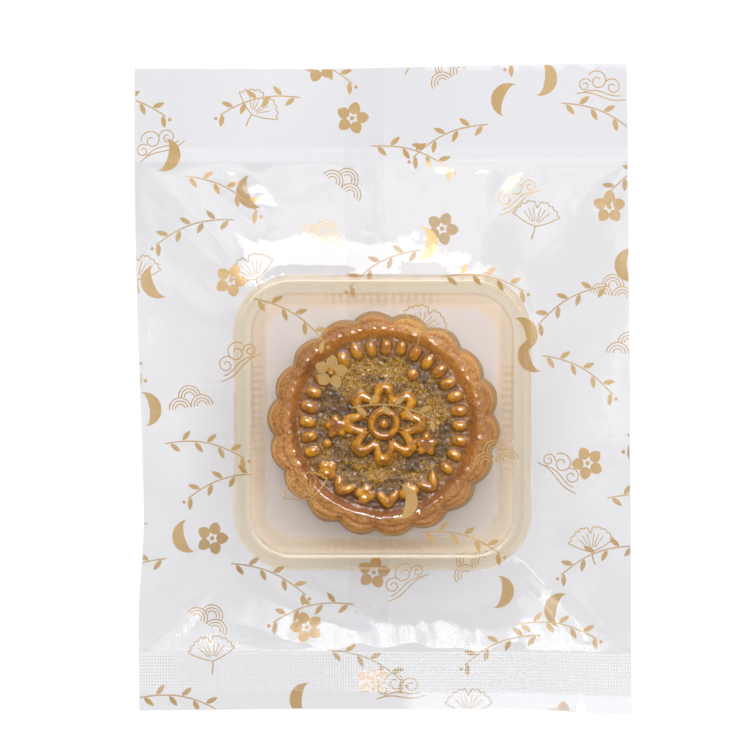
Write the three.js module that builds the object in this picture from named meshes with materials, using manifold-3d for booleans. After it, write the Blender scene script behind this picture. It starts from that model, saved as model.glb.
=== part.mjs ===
// A small round mooncake on a square tray, sealed in a clear film pouch that lies flat.
// The film shuts everything in, so the part is one solid: the outer form of the pouch.
// Millimetres, +Z up, +Y towards the loose flap. Z = 0 is the table, and the origin is
// the middle of the pouch's outline.
import * as THREE from "three";
import { mergeVertices } from "three/addons/utils/BufferGeometryUtils.js";
import Module from "manifold-3d";

const pouch = {
  width: 120.1, // across the two folded sides
  length: 156.7, // from the crimped end to the loose end
  seam: 0.6, // thickness given to two films pressed together
  lean: 0.6, // each end lies this far to one side
  cornerTop: 1.3, // how much further the right-hand corners reach than the left ones
  cornerBottom: 1.1,
  crimpLift: 1.8, // height of the crimped seal above the table, and of the plain one
  sealLift: 3.8,
  foldLift: 5.2, // how much higher the side folds are beside the tray
  foldReach: 54,
  slopePower: 1.06, // above 1, the film hangs hollow between tray and edge
  underPower: 1.5,
};
// The sides draw in beside the tray, most of all on the left
const waist = { left: 1.7, y: -30, up: 80, down: 28, right: 0.3, rightReach: 45 };
// Where the film hangs more hollow: direction from the tray's middle, how far to either side
const hollows = [
  { turn: 124, reach: 52, extra: 0.36 },
  { turn: -86, reach: 60, extra: 0.28 },
];
const tray = { size: 71, corner: 14, height: 20, centreY: -8.2, base: 57, baseCorner: 9 };
const topSeal = { width: 3, flap: 20.2 };
const crimp = { length: 10, hem: 4.2 };
const flapDrop = 2.6; // the loose end sinks this much below the seal
const flapWave = { height: 0.5, length: 74 };
// Ridges from the tray's corners out towards the pouch's corners
const creases = [
  { from: [-57, 52], to: [-27, 25], height: 0.9, width: 5 },
  { from: [57, 48], to: [28, 25], height: 0.9, width: 5 },
  { from: [59, -70], to: [28, -35], height: 1.3, width: 4.5 },
  { from: [-60, -68], to: [-36, -36], height: 1.2, width: 5 },
];
const pucker = { height: 0.28, length: 15, reach: 6 };
const notch = { x: 48.2, width: 2.4, depth: 2.6 };
const sag = { depth: 0.7, lip: 31, cakeRim: 23, cakeCentreY: -8.6 }; // over the open tray

const halfWidth = pouch.width / 2;
const halfLength = pouch.length / 2;
const crimpStart = -halfLength + crimp.hem + crimp.length; // where the crimped seal begins
const sealStart = halfLength - topSeal.flap - topSeal.width; // and the plain one

// 1 at t = 0, falling smoothly to 0 at t = 1 on either side
const bump = (t) => (Math.abs(t) < 1 ? Math.cos((Math.PI * t) / 2) ** 2 : 0);
const mix = (a, b, t) => a + (b - a) * t;

// Distance outside a square with rounded corners, centred on the tray; 0 inside it
function outside(x, y, size, corner) {
  const qx = Math.abs(x) - size / 2 + corner;
  const qy = Math.abs(y - tray.centreY) - size / 2 + corner;
  const round = Math.hypot(Math.max(qx, 0), Math.max(qy, 0));
  return Math.max(0, round + Math.min(Math.max(qx, qy), 0) - corner);
}

// Smooth step: 0 below low, 1 above high
function ease(low, high, value) {
  const t = Math.min(1, Math.max(0, (value - low) / (high - low)));
  return t * t * (3 - 2 * t);
}

// The pouch's left and right edges at y
function sideEdges(y) {
  const middle = (-pouch.lean * y) / halfLength;
  const off = y - waist.y;
  const left = waist.left * bump(off / (off > 0 ? waist.up : waist.down));
  const right = waist.right * bump((y - tray.centreY) / waist.rightReach);
  return [middle - halfWidth + left, middle + halfWidth - right];
}

// Where a point of the flat pouch lies: across between the two edges, and a little
// further out towards both right-hand corners
function spread(across, y) {
  const [left, right] = sideEdges(y);
  const x = mix(left, right, across / pouch.width + 0.5);
  const above = pouch.cornerTop * (ease(-20, 58, x) - 0.25);
  const below = 0.1 - pouch.cornerBottom * ease(30, 58, x) - 0.3 * (1 - ease(-60, -20, x));
  return [x, y + Math.abs(y / halfLength) ** 4 * (y > 0 ? above : below)];
}

// Distance from the side folds and the two seals, rounded off where they meet
function roomToEdge(x, y) {
  const [left, right] = sideEdges(y);
  const gaps = [x - left, right - x, sealStart - y, y - crimpStart];
  if (Math.min(...gaps) <= 1e-6) return 0;
  return gaps.reduce((sum, gap) => sum + gap ** -3, 0) ** (-1 / 3);
}

// Height at which the top and bottom films meet
function edgeHeight(x, y) {
  const seals = mix(pouch.crimpLift, pouch.sealLift, ease(crimpStart, sealStart, y));
  const fold = pouch.foldLift * bump((y - tray.centreY) / pouch.foldReach);
  const along = Math.max(0, (y - sealStart) / (halfLength - sealStart));
  const wave = flapWave.height * Math.sin((2 * Math.PI * x) / flapWave.length + 1);
  return seals + fold * (x / halfWidth) ** 2 + (wave - flapDrop) * along;
}

// Share of the way from a rounded square of that size to the edge: 0 on it, 1 at the edge
function shareOut(x, y, size, corner) {
  const gone = outside(x, y, size, corner);
  const left = roomToEdge(x, y);
  return left === 0 ? 1 : gone / (gone + left);
}

// Power of the hollow at a point: the base value, and more towards some directions
function hollowPower(x, y) {
  const turn = THREE.MathUtils.radToDeg(Math.atan2(y - tray.centreY, x));
  return hollows.reduce((power, hollow) => {
    const off = THREE.MathUtils.euclideanModulo(turn - hollow.turn + 180, 360) - 180;
    return power + hollow.extra * bump(off / hollow.reach);
  }, pouch.slopePower);
}

// Sum of the corner ridges: each is rounded across and fades towards its ends
function creased(x, y) {
  return creases.reduce((height, crease) => {
    const from = new THREE.Vector2(...crease.from);
    const line = new THREE.Vector2(...crease.to).sub(from);
    const point = new THREE.Vector2(x, y).sub(from);
    const along = point.dot(line) / line.lengthSq();
    const off = Math.abs(point.cross(line)) / line.length();
    return height + crease.height * bump(2 * along - 1) * bump(off / crease.width);
  }, 0);
}

// Small pleats that run out of both seals
function puckers(x, y) {
  const away = Math.min(Math.abs(sealStart - y), Math.abs(y - crimpStart));
  const fade = (away / pucker.reach) * Math.exp(1 - away / pucker.reach);
  return pucker.height * fade * Math.sin((2 * Math.PI * x) / pucker.length);
}

// The film dips between the tray's lip and the cake's raised rim, and over its middle
function dip(x, y) {
  const fromLip = sag.lip - Math.max(Math.abs(x), Math.abs(y - tray.centreY));
  const fromRim = Math.abs(Math.hypot(x, y - sag.cakeCentreY) - sag.cakeRim);
  if (fromLip <= 0) return 0;
  return sag.depth * Math.min(1, fromLip / 4) * Math.min(1, fromRim / 5);
}

function topFilm(x, y) {
  const share = shareOut(x, y, tray.size, tray.corner);
  const drop = (1 - share) ** hollowPower(x, y);
  const relief = share > 0 && share < 1 ? creased(x, y) + puckers(x, y) * share : 0;
  return mix(edgeHeight(x, y), tray.height, drop) + relief - dip(x, y) + pouch.seam / 2;
}

function bottomFilm(x, y) {
  const share = shareOut(x, y, tray.base, tray.baseCorner);
  const height = edgeHeight(x, y) * share ** pouch.underPower;
  return Math.max(0, height - pouch.seam / 2);
}

// Values that step evenly from each mark to the next
function stations(marks, counts) {
  const values = [marks[0]];
  counts.forEach((count, i) => {
    for (let k = 1; k <= count; k++) values.push(mix(marks[i], marks[i + 1], k / count));
  });
  return values;
}

// Grid lines, closer together over the tray's rim and at the seals
const rim = tray.size / 2;
const halfColumns = stations([0, rim - 8, rim + 1, halfWidth], [8, 5, 9]);
const columns = [...halfColumns.slice(1).reverse().map((x) => -x), ...halfColumns];
const rows = stations(
  [
    -halfLength,
    crimpStart - crimp.length,
    crimpStart,
    tray.centreY - rim - 1,
    tray.centreY - rim + 8,
    tray.centreY + rim - 8,
    tray.centreY + rim + 1,
    sealStart,
    sealStart + topSeal.width,
    halfLength,
  ],
  [1, 3, 8, 4, 16, 4, 10, 1, 5],
);

// Two sheets over the same grid, joined round their border by a narrow wall
function pouchGeometry() {
  const wide = columns.length;
  const high = rows.length;
  const sheet = wide * high;
  const positions = [];
  for (const film of [topFilm, bottomFilm]) {
    for (const y of rows) {
      for (const column of columns) {
        const [x, placedY] = spread(column, y);
        positions.push(x, placedY, film(x, y));
      }
    }
  }
  const faces = [];
  for (let j = 0; j < high - 1; j++) {
    for (let i = 0; i < wide - 1; i++) {
      const a = j * wide + i;
      const [b, c, d] = [a + 1, a + wide + 1, a + wide];
      const rising = columns[i] * (rows[j] - tray.centreY) < 0; // diagonals follow the creases
      const pair = rising ? [a, b, d, b, c, d] : [a, b, c, a, c, d];
      faces.push(...pair, ...pair.toReversed().map((v) => v + sheet));
    }
  }
  const border = [];
  for (let i = 0; i < wide - 1; i++) border.push(i);
  for (let j = 0; j < high - 1; j++) border.push(j * wide + wide - 1);
  for (let i = wide - 1; i > 0; i--) border.push((high - 1) * wide + i);
  for (let j = high - 1; j > 0; j--) border.push(j * wide);
  border.forEach((a, k) => {
    const b = border[(k + 1) % border.length];
    faces.push(a, a + sheet, b, b, a + sheet, b + sheet);
  });
  const geometry = new THREE.BufferGeometry();
  geometry.setAttribute("position", new THREE.Float32BufferAttribute(positions, 3));
  geometry.setIndex(faces);
  return geometry;
}

// The tear notch: an upright wedge across the edge of the hem
function notchGeometry() {
  const outline = new THREE.Shape();
  outline.moveTo(-notch.width / 2, -1);
  outline.lineTo(notch.width / 2, -1);
  outline.lineTo(notch.width / 2, notch.depth * 0.6);
  outline.lineTo(0, notch.depth);
  outline.lineTo(-notch.width / 2, notch.depth * 0.6);
  outline.closePath();
  const geometry = new THREE.ExtrudeGeometry(outline, { depth: 12, bevelEnabled: false });
  return geometry.translate(notch.x, -halfLength, -2);
}

const wasm = await Module();
wasm.setup();

function toSolid(geometry) {
  const bare = new THREE.BufferGeometry();
  bare.setAttribute("position", geometry.getAttribute("position"));
  bare.setIndex(geometry.index);
  const merged = mergeVertices(bare, 1e-4);
  const mesh = new wasm.Mesh({
    numProp: 3,
    vertProperties: merged.getAttribute("position").array,
    triVerts: new Uint32Array(merged.index.array),
  });
  return new wasm.Manifold(mesh);
}

function toGeometry(solid) {
  const mesh = solid.getMesh();
  const geometry = new THREE.BufferGeometry();
  geometry.setAttribute("position", new THREE.BufferAttribute(mesh.vertProperties, 3));
  geometry.setIndex(new THREE.BufferAttribute(mesh.triVerts, 1));
  geometry.computeVertexNormals();
  return geometry;
}

const bag = new THREE.Mesh(
  toGeometry(toSolid(pouchGeometry()).subtract(toSolid(notchGeometry()))),
  new THREE.MeshStandardMaterial({ color: 0xe6e4e8, roughness: 0.15, metalness: 0 }),
);
bag.name = "bag";

const mooncake = new THREE.Group();
mooncake.add(bag);

export default mooncake;
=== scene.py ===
import math

import bpy
import numpy as np
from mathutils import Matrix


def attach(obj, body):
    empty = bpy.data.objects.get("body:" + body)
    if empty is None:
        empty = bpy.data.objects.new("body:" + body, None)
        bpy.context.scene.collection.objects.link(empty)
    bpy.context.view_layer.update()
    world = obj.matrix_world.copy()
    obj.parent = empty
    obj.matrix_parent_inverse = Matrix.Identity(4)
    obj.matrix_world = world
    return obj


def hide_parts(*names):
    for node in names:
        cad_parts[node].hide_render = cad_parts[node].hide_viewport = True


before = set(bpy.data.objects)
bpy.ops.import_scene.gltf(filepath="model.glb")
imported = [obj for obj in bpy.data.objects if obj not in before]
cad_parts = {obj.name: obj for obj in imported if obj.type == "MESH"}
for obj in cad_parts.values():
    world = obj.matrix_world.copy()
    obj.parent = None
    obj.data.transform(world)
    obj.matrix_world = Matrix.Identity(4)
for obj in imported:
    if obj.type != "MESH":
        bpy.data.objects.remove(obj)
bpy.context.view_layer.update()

mm = 0.001  # sizes below are in millimetres, and a mesh is put in metres
print("frame loaded:", sorted(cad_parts))


# Cosine hump: the square of cos(pi t / 2), which is 1 at t = 0 and 0 from t = 1 on
def hump(t):
    return np.cos(np.pi * np.clip(t, -1, 1) / 2) ** 2


# Smooth step: 0 below low, 1 above high, 3t^2 - 2t^3 between
def ease(low, high, value):
    t = np.clip((value - low) / (high - low), 0.0, 1.0)
    return t * t * (3 - 2 * t)


# Rises from 0 to 1 between two values and falls back to 0 between two others
def band(low, high, fall, end, value):
    return ease(low, high, value) * (1 - ease(fall, end, value))


# Straight blend from a at share 0 to b at share 1
def mix(a, b, share):
    return a + (b - a) * share


# Triangle wave of period 1 between -1 and 1
def zigzag(t):
    return 4 * np.abs(t - np.floor(t + 0.5)) - 1


# Uneven ground between about -1 and 1: a sum of plane waves whose directions, phases and
# lengths are drawn between shortest and longest
def waves(x, y, seed, shortest, longest, count=14):
    draw = np.random.default_rng(seed)
    total = np.zeros(np.broadcast(x, y).shape)
    for _ in range(count):
        turn, phase = draw.uniform(0, 2 * np.pi, 2)
        length = draw.uniform(shortest, longest)
        total += np.sin((x * np.cos(turn) + y * np.sin(turn)) * 2 * np.pi / length + phase)
    return total / math.sqrt(count)


# Quads between neighbours of a grid stored row by row; they face +Z where rows run
# along +Y and columns along +X
def gridFaces(rows, columns, closeRows=False, closeColumns=False, start=0):
    r = np.arange(rows if closeRows else rows - 1)[:, None]
    c = np.arange(columns if closeColumns else columns - 1)[None, :]
    nextRow, nextColumn = (r + 1) % rows, (c + 1) % columns
    corners = [
        r * columns + c,
        r * columns + nextColumn,
        nextRow * columns + nextColumn,
        nextRow * columns + c,
    ]
    return np.stack(np.broadcast_arrays(*corners), axis=-1).reshape(-1, 4) + start


# Triangles between a ring of a grid, which starts at a point's number, and a middle point
def fan(start, columns, middle, turned=False):
    here = start + np.arange(columns)
    after = np.roll(here, -1)
    ends = [after, here] if turned else [here, after]
    return np.stack([np.full(columns, middle), *ends], axis=-1)


# Puts whole arrays of points (in millimetres) and faces into a mesh
def putMesh(name, points, faces, look, shares=None, smooth=True, crisp=False):
    corners = np.concatenate([np.asarray(f).ravel() for f in faces]).astype(np.int32)
    sizes = np.concatenate([np.full(len(f), np.shape(f)[1]) for f in faces])
    starts = np.concatenate([[0], np.cumsum(sizes)[:-1]]).astype(np.int32)
    mesh = bpy.data.meshes.new(name)
    mesh.vertices.add(len(points))
    mesh.vertices.foreach_set("co", (np.asarray(points) * mm).astype(np.float32).ravel())
    mesh.loops.add(len(corners))
    mesh.loops.foreach_set("vertex_index", corners)
    mesh.polygons.add(len(starts))
    mesh.polygons.foreach_set("loop_start", starts)
    mesh.update(calc_edges=True)
    mesh.validate()
    mesh.polygons.foreach_set("use_smooth", np.full(len(mesh.polygons), smooth))
    if crisp:
        mesh.set_sharp_from_angle(angle=math.radians(14))
    for key, values in (shares or {}).items():
        spread = mesh.attributes.new(key, "FLOAT", "POINT")
        spread.data.foreach_set("value", np.asarray(values, np.float32).ravel())
    mesh.materials.append(look)
    piece = bpy.data.objects.new(name, mesh)
    bpy.context.scene.collection.objects.link(piece)
    print(f"{name}: {int((sizes - 2).sum())} triangles")
    return piece


# Adds a shader node; a socket among the values is linked, anything else is set
def addNode(tree, kind, values=None, **settings):
    made = tree.nodes.new("ShaderNode" + kind)
    for key, value in settings.items():
        setattr(made, key, value)
    for key, value in (values or {}).items():
        if isinstance(value, bpy.types.NodeSocket):
            tree.links.new(value, made.inputs[key])
        else:
            made.inputs[key].default_value = value
    return made


# Colour from the usual 0 to 255 scale, made linear
def paint(red, green, blue):
    scaled = [v / 255 for v in (red, green, blue)]
    linear = [v / 12.92 if v <= 0.04045 else ((v + 0.055) / 1.055) ** 2.4 for v in scaled]
    return (*linear, 1)


# An empty material and its node tree
def newLook(name):
    look = bpy.data.materials.new(name)
    look.use_nodes = True
    look.node_tree.nodes.clear()
    return look, look.node_tree


# Joins a shader to the material's output
def finishLook(tree, shader):
    out = addNode(tree, "OutputMaterial")
    tree.links.new(shader.outputs[0], out.inputs["Surface"])


# Noise in object space whose blobs are about size millimetres across
def speckle(tree, size, detail=3.0, roughness=0.5, distortion=0.0):
    place = addNode(tree, "TexCoord").outputs["Object"]
    values = {"Vector": place, "Scale": 1 / (size * mm), "Detail": detail}
    values.update({"Roughness": roughness, "Distortion": distortion})
    return addNode(tree, "TexNoise", values).outputs["Fac"]


# Stretches a value from one range to another, clamped at both ends
def remap(tree, value, low, high, toLow=0.0, toHigh=1.0):
    values = {"Value": value, "From Min": low, "From Max": high, "To Min": toLow, "To Max": toHigh}
    return addNode(tree, "MapRange", values, clamp=True).outputs["Result"]


# One number out of two, by the named operation
def combine(tree, operation, first, second):
    return addNode(tree, "Math", {0: first, 1: second}, operation=operation).outputs[0]


def times(tree, first, second):
    return combine(tree, "MULTIPLY", first, second)


def larger(tree, first, second):
    return combine(tree, "MAXIMUM", first, second)


# First shader at share 0, second at share 1
def blendShaders(tree, share, first, second):
    return addNode(tree, "MixShader", {0: share, 1: first.outputs[0], 2: second.outputs[0]})


# First colour at share 0, second at share 1
def blendColours(tree, share, first, second, mode="MIX"):
    made = addNode(tree, "Mix", {0: share, 6: first, 7: second}, data_type="RGBA", blend_type=mode)
    return made.outputs[2]


# Value that the mesh carries at its points under this name
def attributeShare(tree, key):
    return addNode(tree, "Attribute", attribute_name=key).outputs["Fac"]


# Noises by name, each stretched so that two of its values become 0 and 1
def noises(tree, table):
    return {key: remap(tree, speckle(tree, *row[:4]), *row[4:]) for key, row in table.items()}


# A tone from rows of colours: without a tone below, the first row's two colours are blended
# by its noise; each other row's colour is laid over by a noise or attribute times a strength
def layered(tree, shares, rows, tone=None):
    def share(key):
        return shares[key] if key in shares else attributeShare(tree, key)

    if tone is None:
        (by, first, second), *rows = rows
        tone = blendColours(tree, share(by), paint(*first), paint(*second))
    for key, strength, colour in rows:
        tone = blendColours(tree, times(tree, share(key), strength), tone, paint(*colour))
    return tone


# Normal tilted by the slope of a height that spans a distance in millimetres
def bump(tree, height, distance, strength=1.0, below=None):
    values = {"Height": height, "Distance": distance * mm, "Strength": strength}
    if below is not None:
        values["Normal"] = below
    return addNode(tree, "Bump", values).outputs["Normal"]


# Above the pouch and looking straight down; frameWidth is what it takes in at table height
camera = {
    "x": -1.96,
    "y": 3.27,
    "height": 900,
    "frameWidth": 183.4,
    "sensor": 36,
    "clip": (50, 20000),
}


# Focal length is sensor * height / frameWidth
def setCamera():
    data = bpy.data.cameras.new("overhead")
    data.sensor_width = camera["sensor"]
    data.lens = camera["sensor"] * camera["height"] / camera["frameWidth"]
    data.clip_start, data.clip_end = (k * mm for k in camera["clip"])
    holder = bpy.data.objects.new("overhead", data)
    holder.location = (camera["x"] * mm, camera["y"] * mm, camera["height"] * mm)
    bpy.context.scene.collection.objects.link(holder)
    bpy.context.scene.camera = holder


pouch = {
    "width": 120.1,
    "length": 156.7,
    "lean": 0.6,  # each end lies this far to one side
    "waistLeft": 1.7,  # how far the left side draws in beside the tray, and where most
    "waistY": -30,
    "waistUp": 80,  # and how far above and below that it does so
    "waistDown": 28,
    "waistRight": 0.3,  # the right side draws in evenly about the tray's middle
    "waistRightReach": 45,
    # how far the end borders lie out: plain, and steps of amount, from x, to x
    "topBorder": (-0.325, [(1.3, -20, 58)]),
    "bottomBorder": (-0.2, [(-1.1, 30, 58), (0.3, -60, -20)]),
    "crimpLift": 1.8,  # height of the crimped seal above the table, and of the plain one
    "sealLift": 3.8,
    "foldLift": 5.2,  # how much higher the side folds are beside the tray
    "foldReach": 54,
    "slopePower": 1.06,  # above 1, the film hangs hollow between tray and edge
    "underPower": 1.5,  # and the lower sheet keeps close to the table
    "sealWidth": 3,
    "flap": 20.2,  # length beyond the plain seal, and how much lower it ends
    "flapDrop": 2.6,
    "flapWave": 0.5,
    "flapWaveLength": 74,
    "crimp": 10,
    "hem": 4.2,
    "step": 0.6,  # between neighbouring grid lines
    "apart": 0.1,  # each sheet's distance from the middle between them in the flap
    "pressed": 0.03,  # and in a seal
    "outside": 0.4,  # a seal begins this far outside its border, and is full this far inside
    "inside": 0.2,
    "calm": 0.12,  # this share of the way next to the tray and to the edge has no relief
    "underLift": 0.3,  # room for the back seam under the lower sheet
}
halfWidth, halfLength = pouch["width"] / 2, pouch["length"] / 2
crimpStart = -halfLength + pouch["hem"] + pouch["crimp"]
sealStart = halfLength - pouch["flap"] - pouch["sealWidth"]
sealEnd = sealStart + pouch["sealWidth"]

trayForm = {"size": 71, "corner": 14, "height": 20, "centreY": -8.2, "base": 57, "baseCorner": 9}
# Where the film hangs more hollow: direction from the tray's middle, how far to either side
hollows = [
    {"turn": 120, "reach": 46, "extra": 0.47},
    {"turn": -86, "reach": 60, "extra": 0.28},
]
# Creases: two flat faces that meet along a line
creases = [
    {"from": (-57, 52), "to": (-27, 25), "height": 0.9, "width": 5.0},
    {"from": (57, 48), "to": (28, 25), "height": 0.9, "width": 5.0},
    {"from": (59, -70), "to": (28, -35), "height": 1.3, "width": 3.6},
    {"from": (-60, -68), "to": (-36, -36), "height": 1.2, "width": 5.0},
    {"from": (-44, 58), "to": (-22, 36), "height": 1.8, "width": 4.6},
    {"from": (38, 58), "to": (27, 40), "height": 0.9, "width": 3.4},
    {"from": (46, 58), "to": (62, 52), "height": 0.4, "width": 3.0},
    {"from": (-52, -50), "to": (0, -70), "height": 1.0, "width": 8.0},
    {"from": (-34, -38), "to": (4, -62), "height": 0.6, "width": 4.0},
    {"from": (-60, -34), "to": (-44, -60), "height": 0.5, "width": 4.0},
]
# Patches of fine folds side by side: middle, half the patch's length and width and the
# direction it runs in, direction across the folds, pitch, height
hangers = [
    {"at": (0, 29.5), "reach": (15, 6.5), "lean": 0, "turn": 30, "pitch": 2.4, "height": 0.05},
    {"at": (-31, 46), "reach": (11, 4), "lean": -46, "turn": 100, "pitch": 3.6, "height": 0.08},
]
# The waves of puckers and crumples: seed, shortest and longest in millimetres, how many
pucker = {"height": 0.28, "reach": 6, "waves": (8, 9, 26, 8)}
sag = {"depth": 0.7, "lip": 31, "cakeRim": 23, "cakeCentreY": -8.6, "lipSlope": 4, "rimSlope": 5}
crumple = {
    "bend": 6,
    "bendX": (3, 30, 70, 6),
    "bendY": (4, 30, 70, 6),
    "turns": (0.2, 0.95, 1.6, 2.2, 2.85),
    # facets and fine folds: pitch, how much it grows and shifts by direction, height
    "folds": [(19, 0.23, 0.37, 0.1), (3.6, 0.31, 0.21, 0.012)],
    "pleat": 2.6,
    "pleatHeight": 0.015,
    "pleatRadius": 40,  # the pleats have their pitch at this distance from the tray's middle
    "pleatWaves": (5, 12, 30, 6),
    "hangerWaves": (29, 3, 9),
}


# Distance outside a square round the tray's middle whose corners are rounded by corner, from
# how far a point lies beyond the two sides less that radius; 0 inside it
def outsideSquare(x, y, size, corner):
    qx = np.abs(x) - size / 2 + corner
    qy = np.abs(y - trayForm["centreY"]) - size / 2 + corner
    rounded = np.hypot(np.maximum(qx, 0), np.maximum(qy, 0))
    return np.maximum(0, rounded + np.minimum(np.maximum(qx, qy), 0) - corner)


# The pouch's left and right edges at y: it leans a little, and draws in beside the tray,
# most of all on the left
def sideEdges(y):
    middle = -pouch["lean"] * y / halfLength
    off = y - pouch["waistY"]
    reach = np.where(off > 0, pouch["waistUp"], pouch["waistDown"])
    left = pouch["waistLeft"] * hump(off / reach)
    right = pouch["waistRight"] * hump((y - trayForm["centreY"]) / pouch["waistRightReach"])
    return middle - halfWidth + left, middle + halfWidth - right


# Where a point of the flat pouch lies: across between the two edges, and its y moved by how
# far the nearer end border lies out there, times the fourth power of y / halfLength
def spread(across, y):
    left, right = sideEdges(y)
    x = mix(left, right, across / pouch["width"] + 0.5)
    borders = []
    for key in ("topBorder", "bottomBorder"):
        plain, curves = pouch[key]
        borders.append(plain + sum(amount * ease(low, high, x) for amount, low, high in curves))
    return x, y + np.abs(y / halfLength) ** 4 * np.where(y > 0, *borders)


# Distance from the side folds and the two seals: each gap to the power -3, added up, to the
# power -1/3, which is about the smallest gap but rounds off where two meet
def roomToEdge(x, y):
    left, right = sideEdges(y)
    gaps = [x - left, right - x, sealStart - y + 0 * x, y - crimpStart + 0 * x]
    return sum(np.maximum(gap, 1e-5) ** -3.0 for gap in gaps) ** (-1 / 3)


# Height at which the two sheets meet: from crimpLift to sealLift along the pouch, more by
# foldLift * (x / halfWidth)^2 beside the tray, and a wave and a drop that grow in the flap
def edgeHeight(x, y):
    seals = mix(pouch["crimpLift"], pouch["sealLift"], ease(crimpStart, sealStart, y))
    fold = pouch["foldLift"] * hump((y - trayForm["centreY"]) / pouch["foldReach"])
    along = np.maximum(0, (y - sealStart) / (halfLength - sealStart))
    wave = pouch["flapWave"] * np.sin(2 * np.pi * x / pouch["flapWaveLength"] + 1)
    return seals + fold * (x / halfWidth) ** 2 + (wave - pouch["flapDrop"]) * along


# Share of the way from the tray to the edge: 0 on the tray, 1 at the edge
def shareOut(x, y, size, corner):
    gone = outsideSquare(x, y, size, corner)
    return gone / (gone + roomToEdge(x, y))


# Power of the hollow at a point: the base value, and more towards some directions
def hollowPower(x, y):
    turn = np.degrees(np.arctan2(y - trayForm["centreY"], x))
    power = pouch["slopePower"]
    for hollow in hollows:
        off = (turn - hollow["turn"] + 180) % 360 - 180
        power = power + hollow["extra"] * hump(off / hollow["reach"])
    return power


# Each crease adds height * (1 - off / width) to either side, fading towards its ends
def creased(x, y):
    total = 0
    for crease in creases:
        (fromX, fromY), (toX, toY) = crease["from"], crease["to"]
        lineX, lineY = toX - fromX, toY - fromY
        size = math.hypot(lineX, lineY)
        along = ((x - fromX) * lineX + (y - fromY) * lineY) / size**2
        off = np.abs((x - fromX) * lineY - (y - fromY) * lineX) / size
        roof = np.maximum(0, 1 - off / crease["width"])
        total = total + crease["height"] * hump(2 * along - 1) * roof
    return total


# Small pleats that run out of both seals: highest, height * waves, at reach from the seal,
# and fading as t * e^(1 - t) with t = away / reach
def puckers(x, y):
    away = np.minimum(np.abs(sealStart - y), np.abs(y - crimpStart))
    fade = (away / pucker["reach"]) * np.exp(1 - away / pucker["reach"])
    return pucker["height"] * fade * waves(x, 0 * y, *pucker["waves"])


# The film dips between the tray's lip and the cake's raised rim, and over its middle
def dip(x, y):
    fromLip = sag["lip"] - np.maximum(np.abs(x), np.abs(y - trayForm["centreY"]))
    fromRim = np.abs(np.hypot(x, y - sag["cakeCentreY"]) - sag["cakeRim"])
    fromLip, fromRim = fromLip / sag["lipSlope"], fromRim / sag["rimSlope"]
    return sag["depth"] * np.clip(fromLip, 0, 1) * np.clip(fromRim, 0, 1)


# Flat facets with crisp folds between them: triangle waves in several directions over a
# slowly bent plane, a finer set of the same, short pleats that run away from the tray, and
# the patches of folds
def crumpled(x, y):
    bentX = x + crumple["bend"] * waves(x, y, *crumple["bendX"])
    bentY = y + crumple["bend"] * waves(x, y, *crumple["bendY"])
    total = 0
    for k, turn in enumerate(crumple["turns"]):
        across = bentX * np.cos(turn) + bentY * np.sin(turn)
        for pitch, growth, shift, height in crumple["folds"]:
            total = total + height * zigzag(across / (pitch * (1 + growth * k)) + shift * k)
    fan = np.arctan2(y - trayForm["centreY"], x) * crumple["pleatRadius"]
    fan = fan + 0.5 * waves(x, y, *crumple["pleatWaves"])
    total = total + crumple["pleatHeight"] * zigzag(fan / crumple["pleat"])
    uneven = waves(x, y, *crumple["hangerWaves"])
    for patch in hangers:
        turn, lean = math.radians(patch["turn"]), math.radians(patch["lean"])
        across = x * math.cos(turn) + y * math.sin(turn) + uneven
        offX, offY = x - patch["at"][0], y - patch["at"][1]
        along = offX * math.cos(lean) + offY * math.sin(lean)
        aside = offY * math.cos(lean) - offX * math.sin(lean)
        near = hump(along / patch["reach"][0]) * hump(aside / patch["reach"][1])
        total = total + patch["height"] * near * zigzag(across / patch["pitch"])
    return total


# How far each sheet lies from the middle between the two, where they run together: from
# apart to pressed inside the plain seal and the crimped one
def sheetGap(y):
    outside, inside = pouch["outside"], pouch["inside"]
    borders = [sealStart - outside, sealStart + inside, sealEnd - inside, sealEnd + outside]
    sealed = band(*borders, y)
    sealed = sealed + 1 - ease(crimpStart - inside, crimpStart + outside, y)
    return mix(pouch["apart"], pouch["pressed"], sealed)


# Upper sheet: from the edge's height to the tray's by (1 - share)^power, plus the relief,
# which is calm next to the tray and the edge, minus the dip
def topSheet(x, y):
    share = shareOut(x, y, trayForm["size"], trayForm["corner"])
    drop = (1 - share) ** hollowPower(x, y)
    free = ease(0, pouch["calm"], share) * ease(0, pouch["calm"], 1 - share)
    relief = free * (creased(x, y) + puckers(x, y) * share + crumpled(x, y))
    return mix(edgeHeight(x, y), trayForm["height"], drop) + relief - dip(x, y) + sheetGap(y)


# Lower sheet: the edge's height times share^underPower, and never below underLift
def bottomSheet(x, y):
    share = shareOut(x, y, trayForm["base"], trayForm["baseCorner"])
    height = edgeHeight(x, y) * share ** pouch["underPower"]
    return np.maximum(pouch["underLift"], height - sheetGap(y))


# Two sheets over one grid, at the heights that top and bottom give, the second facing down,
# joined by a narrow wall round the border
def twoSheets(columns, rows, top, bottom):
    c, r = np.meshgrid(columns, rows)
    x, y = spread(c, r)
    upper = np.stack([x, y, top(x, r)], axis=-1).reshape(-1, 3)
    lower = np.stack([x, y, bottom(x, r)], axis=-1).reshape(-1, 3)
    high, wide = c.shape
    sheet = gridFaces(high, wide)
    index = np.arange(high * wide).reshape(high, wide)
    border = np.concatenate([index[0], index[1:, -1], index[-1, -2::-1], index[-2:0:-1, 0]])
    after = np.roll(border, -1)
    wall = np.stack([border, border + high * wide, after + high * wide, after], axis=-1)
    return np.concatenate([upper, lower]), [sheet, sheet[:, ::-1] + high * wide, wall]


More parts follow.
